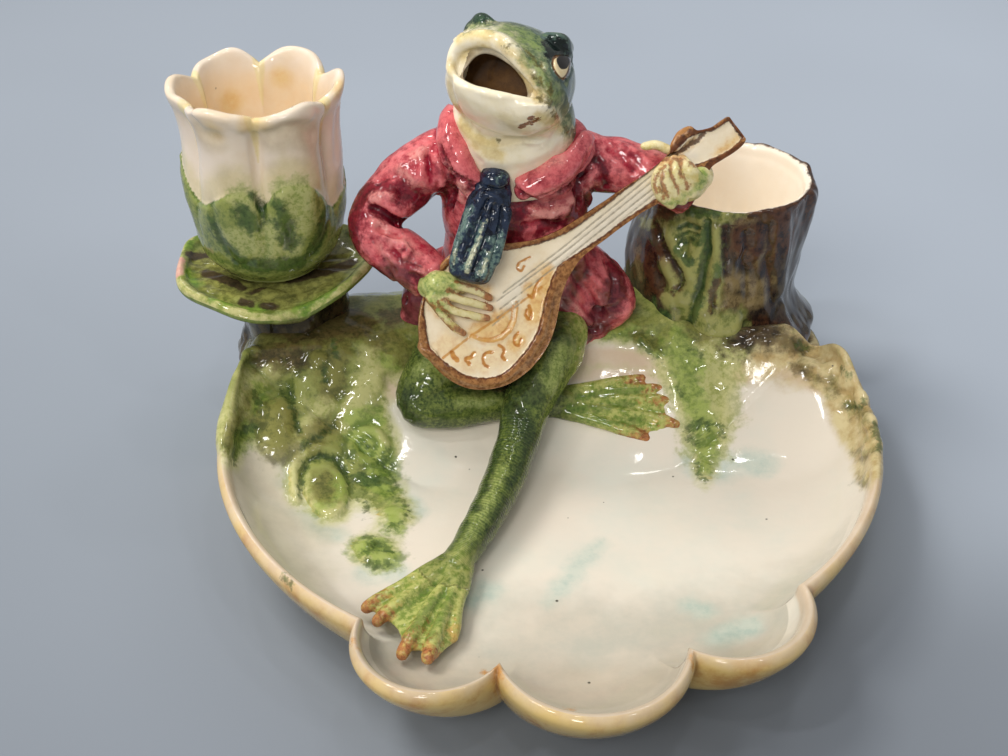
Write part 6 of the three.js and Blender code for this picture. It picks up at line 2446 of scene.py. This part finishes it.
@dataclass
class Hands:
    """The frog's hands: one over the strings, one round the neck."""

    mandolin: Mandolin
    # Fingers as rows of pixels across and down, height over the mandolin's face and thickness
    strumming: tuple[Rows, ...] = lines("""
        442,281,4.4,2.2 460,286,4.2,1.7 476,291,3,1.5 490,298,1.3,1.3; 438,289,4.6,2.2 456,298,4.2,1.6
        474,303,3,1.5 490,308,1.3,1.3; 434,295,4.4,2.2 451,309,4,1.6 470,315,2.8,1.5 487,318,1.3,1.3;
        431,298,4,2.1 443,315,3.6,1.6 453,326,2.4,1.5 463,333,1.2,1.3
    """)
    strumming_palm: Rows = numbers("431,285,-.4,5 438,285,2,5.2 448,284,2.2,4.2 461,287,1.5,2.6")
    fretting: tuple[Rows, ...] = lines("""
        664,166,.6,1.9 657,178,2.6,2.1 660,193,2.4,2.2 671,203,.2,2.2; 668,162,.6,1.9 665,174,3,2.1
        670,188,2.8,2.3 682,199,.4,2.3; 674,160,.6,1.9 675,170,3.2,2.2 681,182,2.8,2.4 692,192,.4,2.4;
        682,160,.6,2 687,167,3.2,2.6 693,175,2.6,2.9 700,182,.2,2.8
    """)
    fretting_palm: Rows = numbers("672,190,-3,5 688,184,-3,6.2 699,176,-3,5.2")
    thumb: Rows = numbers("646,146,-3.4,2 656,145,-3.4,2.3 667,149,-4,2.5")
    grain: float = 0.36

    def fingers(self, rows: Line) -> list[list[float]]:
        """Returns rows of pixels, height and thickness as rows of places and thickness."""
        return [[*self.mandolin.over(across, down, lift), radius] for across, down, lift, radius in rows]

    def paint_hand(self, clay: Clay, fingers: Sequence[Line]) -> None:
        """Paints the masks that a hand's glazes follow."""
        clay.paint_hollows(6)
        tips = np.array([row[-1][:3] for row in fingers])
        reach = np.min([np.linalg.norm(clay.points - tip, axis=1) for tip in tips], axis=0)
        clay.paint("tip", 3.6 - reach)
        crest = np.max([clay.field(np.array(row)[:, :3], 2.6) for row in fingers], axis=0)
        clay.paint("finger", crest)

    def build_strumming(self) -> bpy.types.Object:
        """Builds and glazes the hand over the strings."""
        fingers = [self.fingers(rows) for rows in self.strumming]
        parts = [limb(row, 16, 8) for row in fingers]
        palm = limb(self.fingers(self.strumming_palm), 24)
        clay = Clay(fuse("strumming_hand", [palm, *parts], self.grain, 2))
        clay.roughen(0.1, 2.0, 201, 1.0, 2)
        surface = Surface(clay.piece)
        self.paint_hand(clay, fingers)
        daub(
            clay, surface,
            green="5.6 424,284 436,283 449,279; 3 428,294 438,306 446,314,.7; 1.6 448,276 458,280,.6",
            brown="""
                .8 448,290 465,296 486,303; .8 443,299 460,307 484,313; .8 438,303 452,318 468,322; .7
                456,281 472,286 488,293; 1.5 488,296 491,308 488,320; 1.2 456,328 464,334; .7 430,304
                440,318 452,330; .9 426,300 434,308
            """,
        )
        return finish_piece(clay.piece, self.finish)

    def build_fretting(self) -> bpy.types.Object:
        """Builds and glazes the hand round the neck."""
        fingers = [self.fingers(rows) for rows in self.fretting]
        parts = [limb(row, 16, 8) for row in fingers]
        parts += [limb(self.fingers(self.fretting_palm), 24), limb(self.fingers(self.thumb), 16, 8, 0.7)]
        clay = Clay(fuse("fretting_hand", parts, self.grain, 2))
        clay.roughen(0.1, 2.0, 203, 1.0, 2)
        surface = Surface(clay.piece)
        self.paint_hand(clay, [row[:1] for row in fingers])
        clay.paint("finger", np.max([clay.field(np.array(row)[:, :3], 2.8) for row in fingers], axis=0))
        daub(
            clay, surface,
            green="2.6 702,170 704,178 700,186; 1.6 697,188 688,194; 1.6 684,197 678,202 668,204",
            brown="""
                .8 660,170 655,180 656,192; .8 665,166 661,180 667,196; .8 671,163 671,176 679,192; .9
                679,162 681,174 688,187; .9 664,160 680,160 694,166; .6 658,186 664,198
            """,
        )
        return finish_piece(clay.piece, self.finish)

    def build(self) -> list[bpy.types.Object]:
        """Builds both hands."""
        return [self.build_strumming(), self.build_fretting()]

    finish: Finish = Finish(
        "frog_hand_glaze", srgb("e4daa4"),
        coats("""
            f0e6ba cebc70 -      1   3   1   6   3.5 3 .4  .7
            d8ce90 a8a054 finger .8  2.6 1   3   2   3 .3  .9 .3
            bac476 708e3e green  -.4 3.4 1.6 3   1.8 4 .45 .6 .86
            d69862 9e542e tip    -.8 2   .9  2   1.6 3 .4  .6 .6
            a8643a 682e18 brown  0   .9  .8  1.6 1.2 4 .45 .5 .78
        """),
        gloss=0.07, speck_share=0.0,
    )


def main() -> None:
    """Builds the ashtray."""
    Studio().build()
    mandolin = Mandolin()
    parts = (
        Dish(), FlowerCup(), LilyPad(), Stump(), Jacket(), Tie(), FrogHead(), FrogLegs(), mandolin,
        Hands(mandolin),
    )
    for part in parts:
        part.build()


if __name__ == "__main__":
    logging.basicConfig(level=logging.INFO, format="%(message)s")
    main()
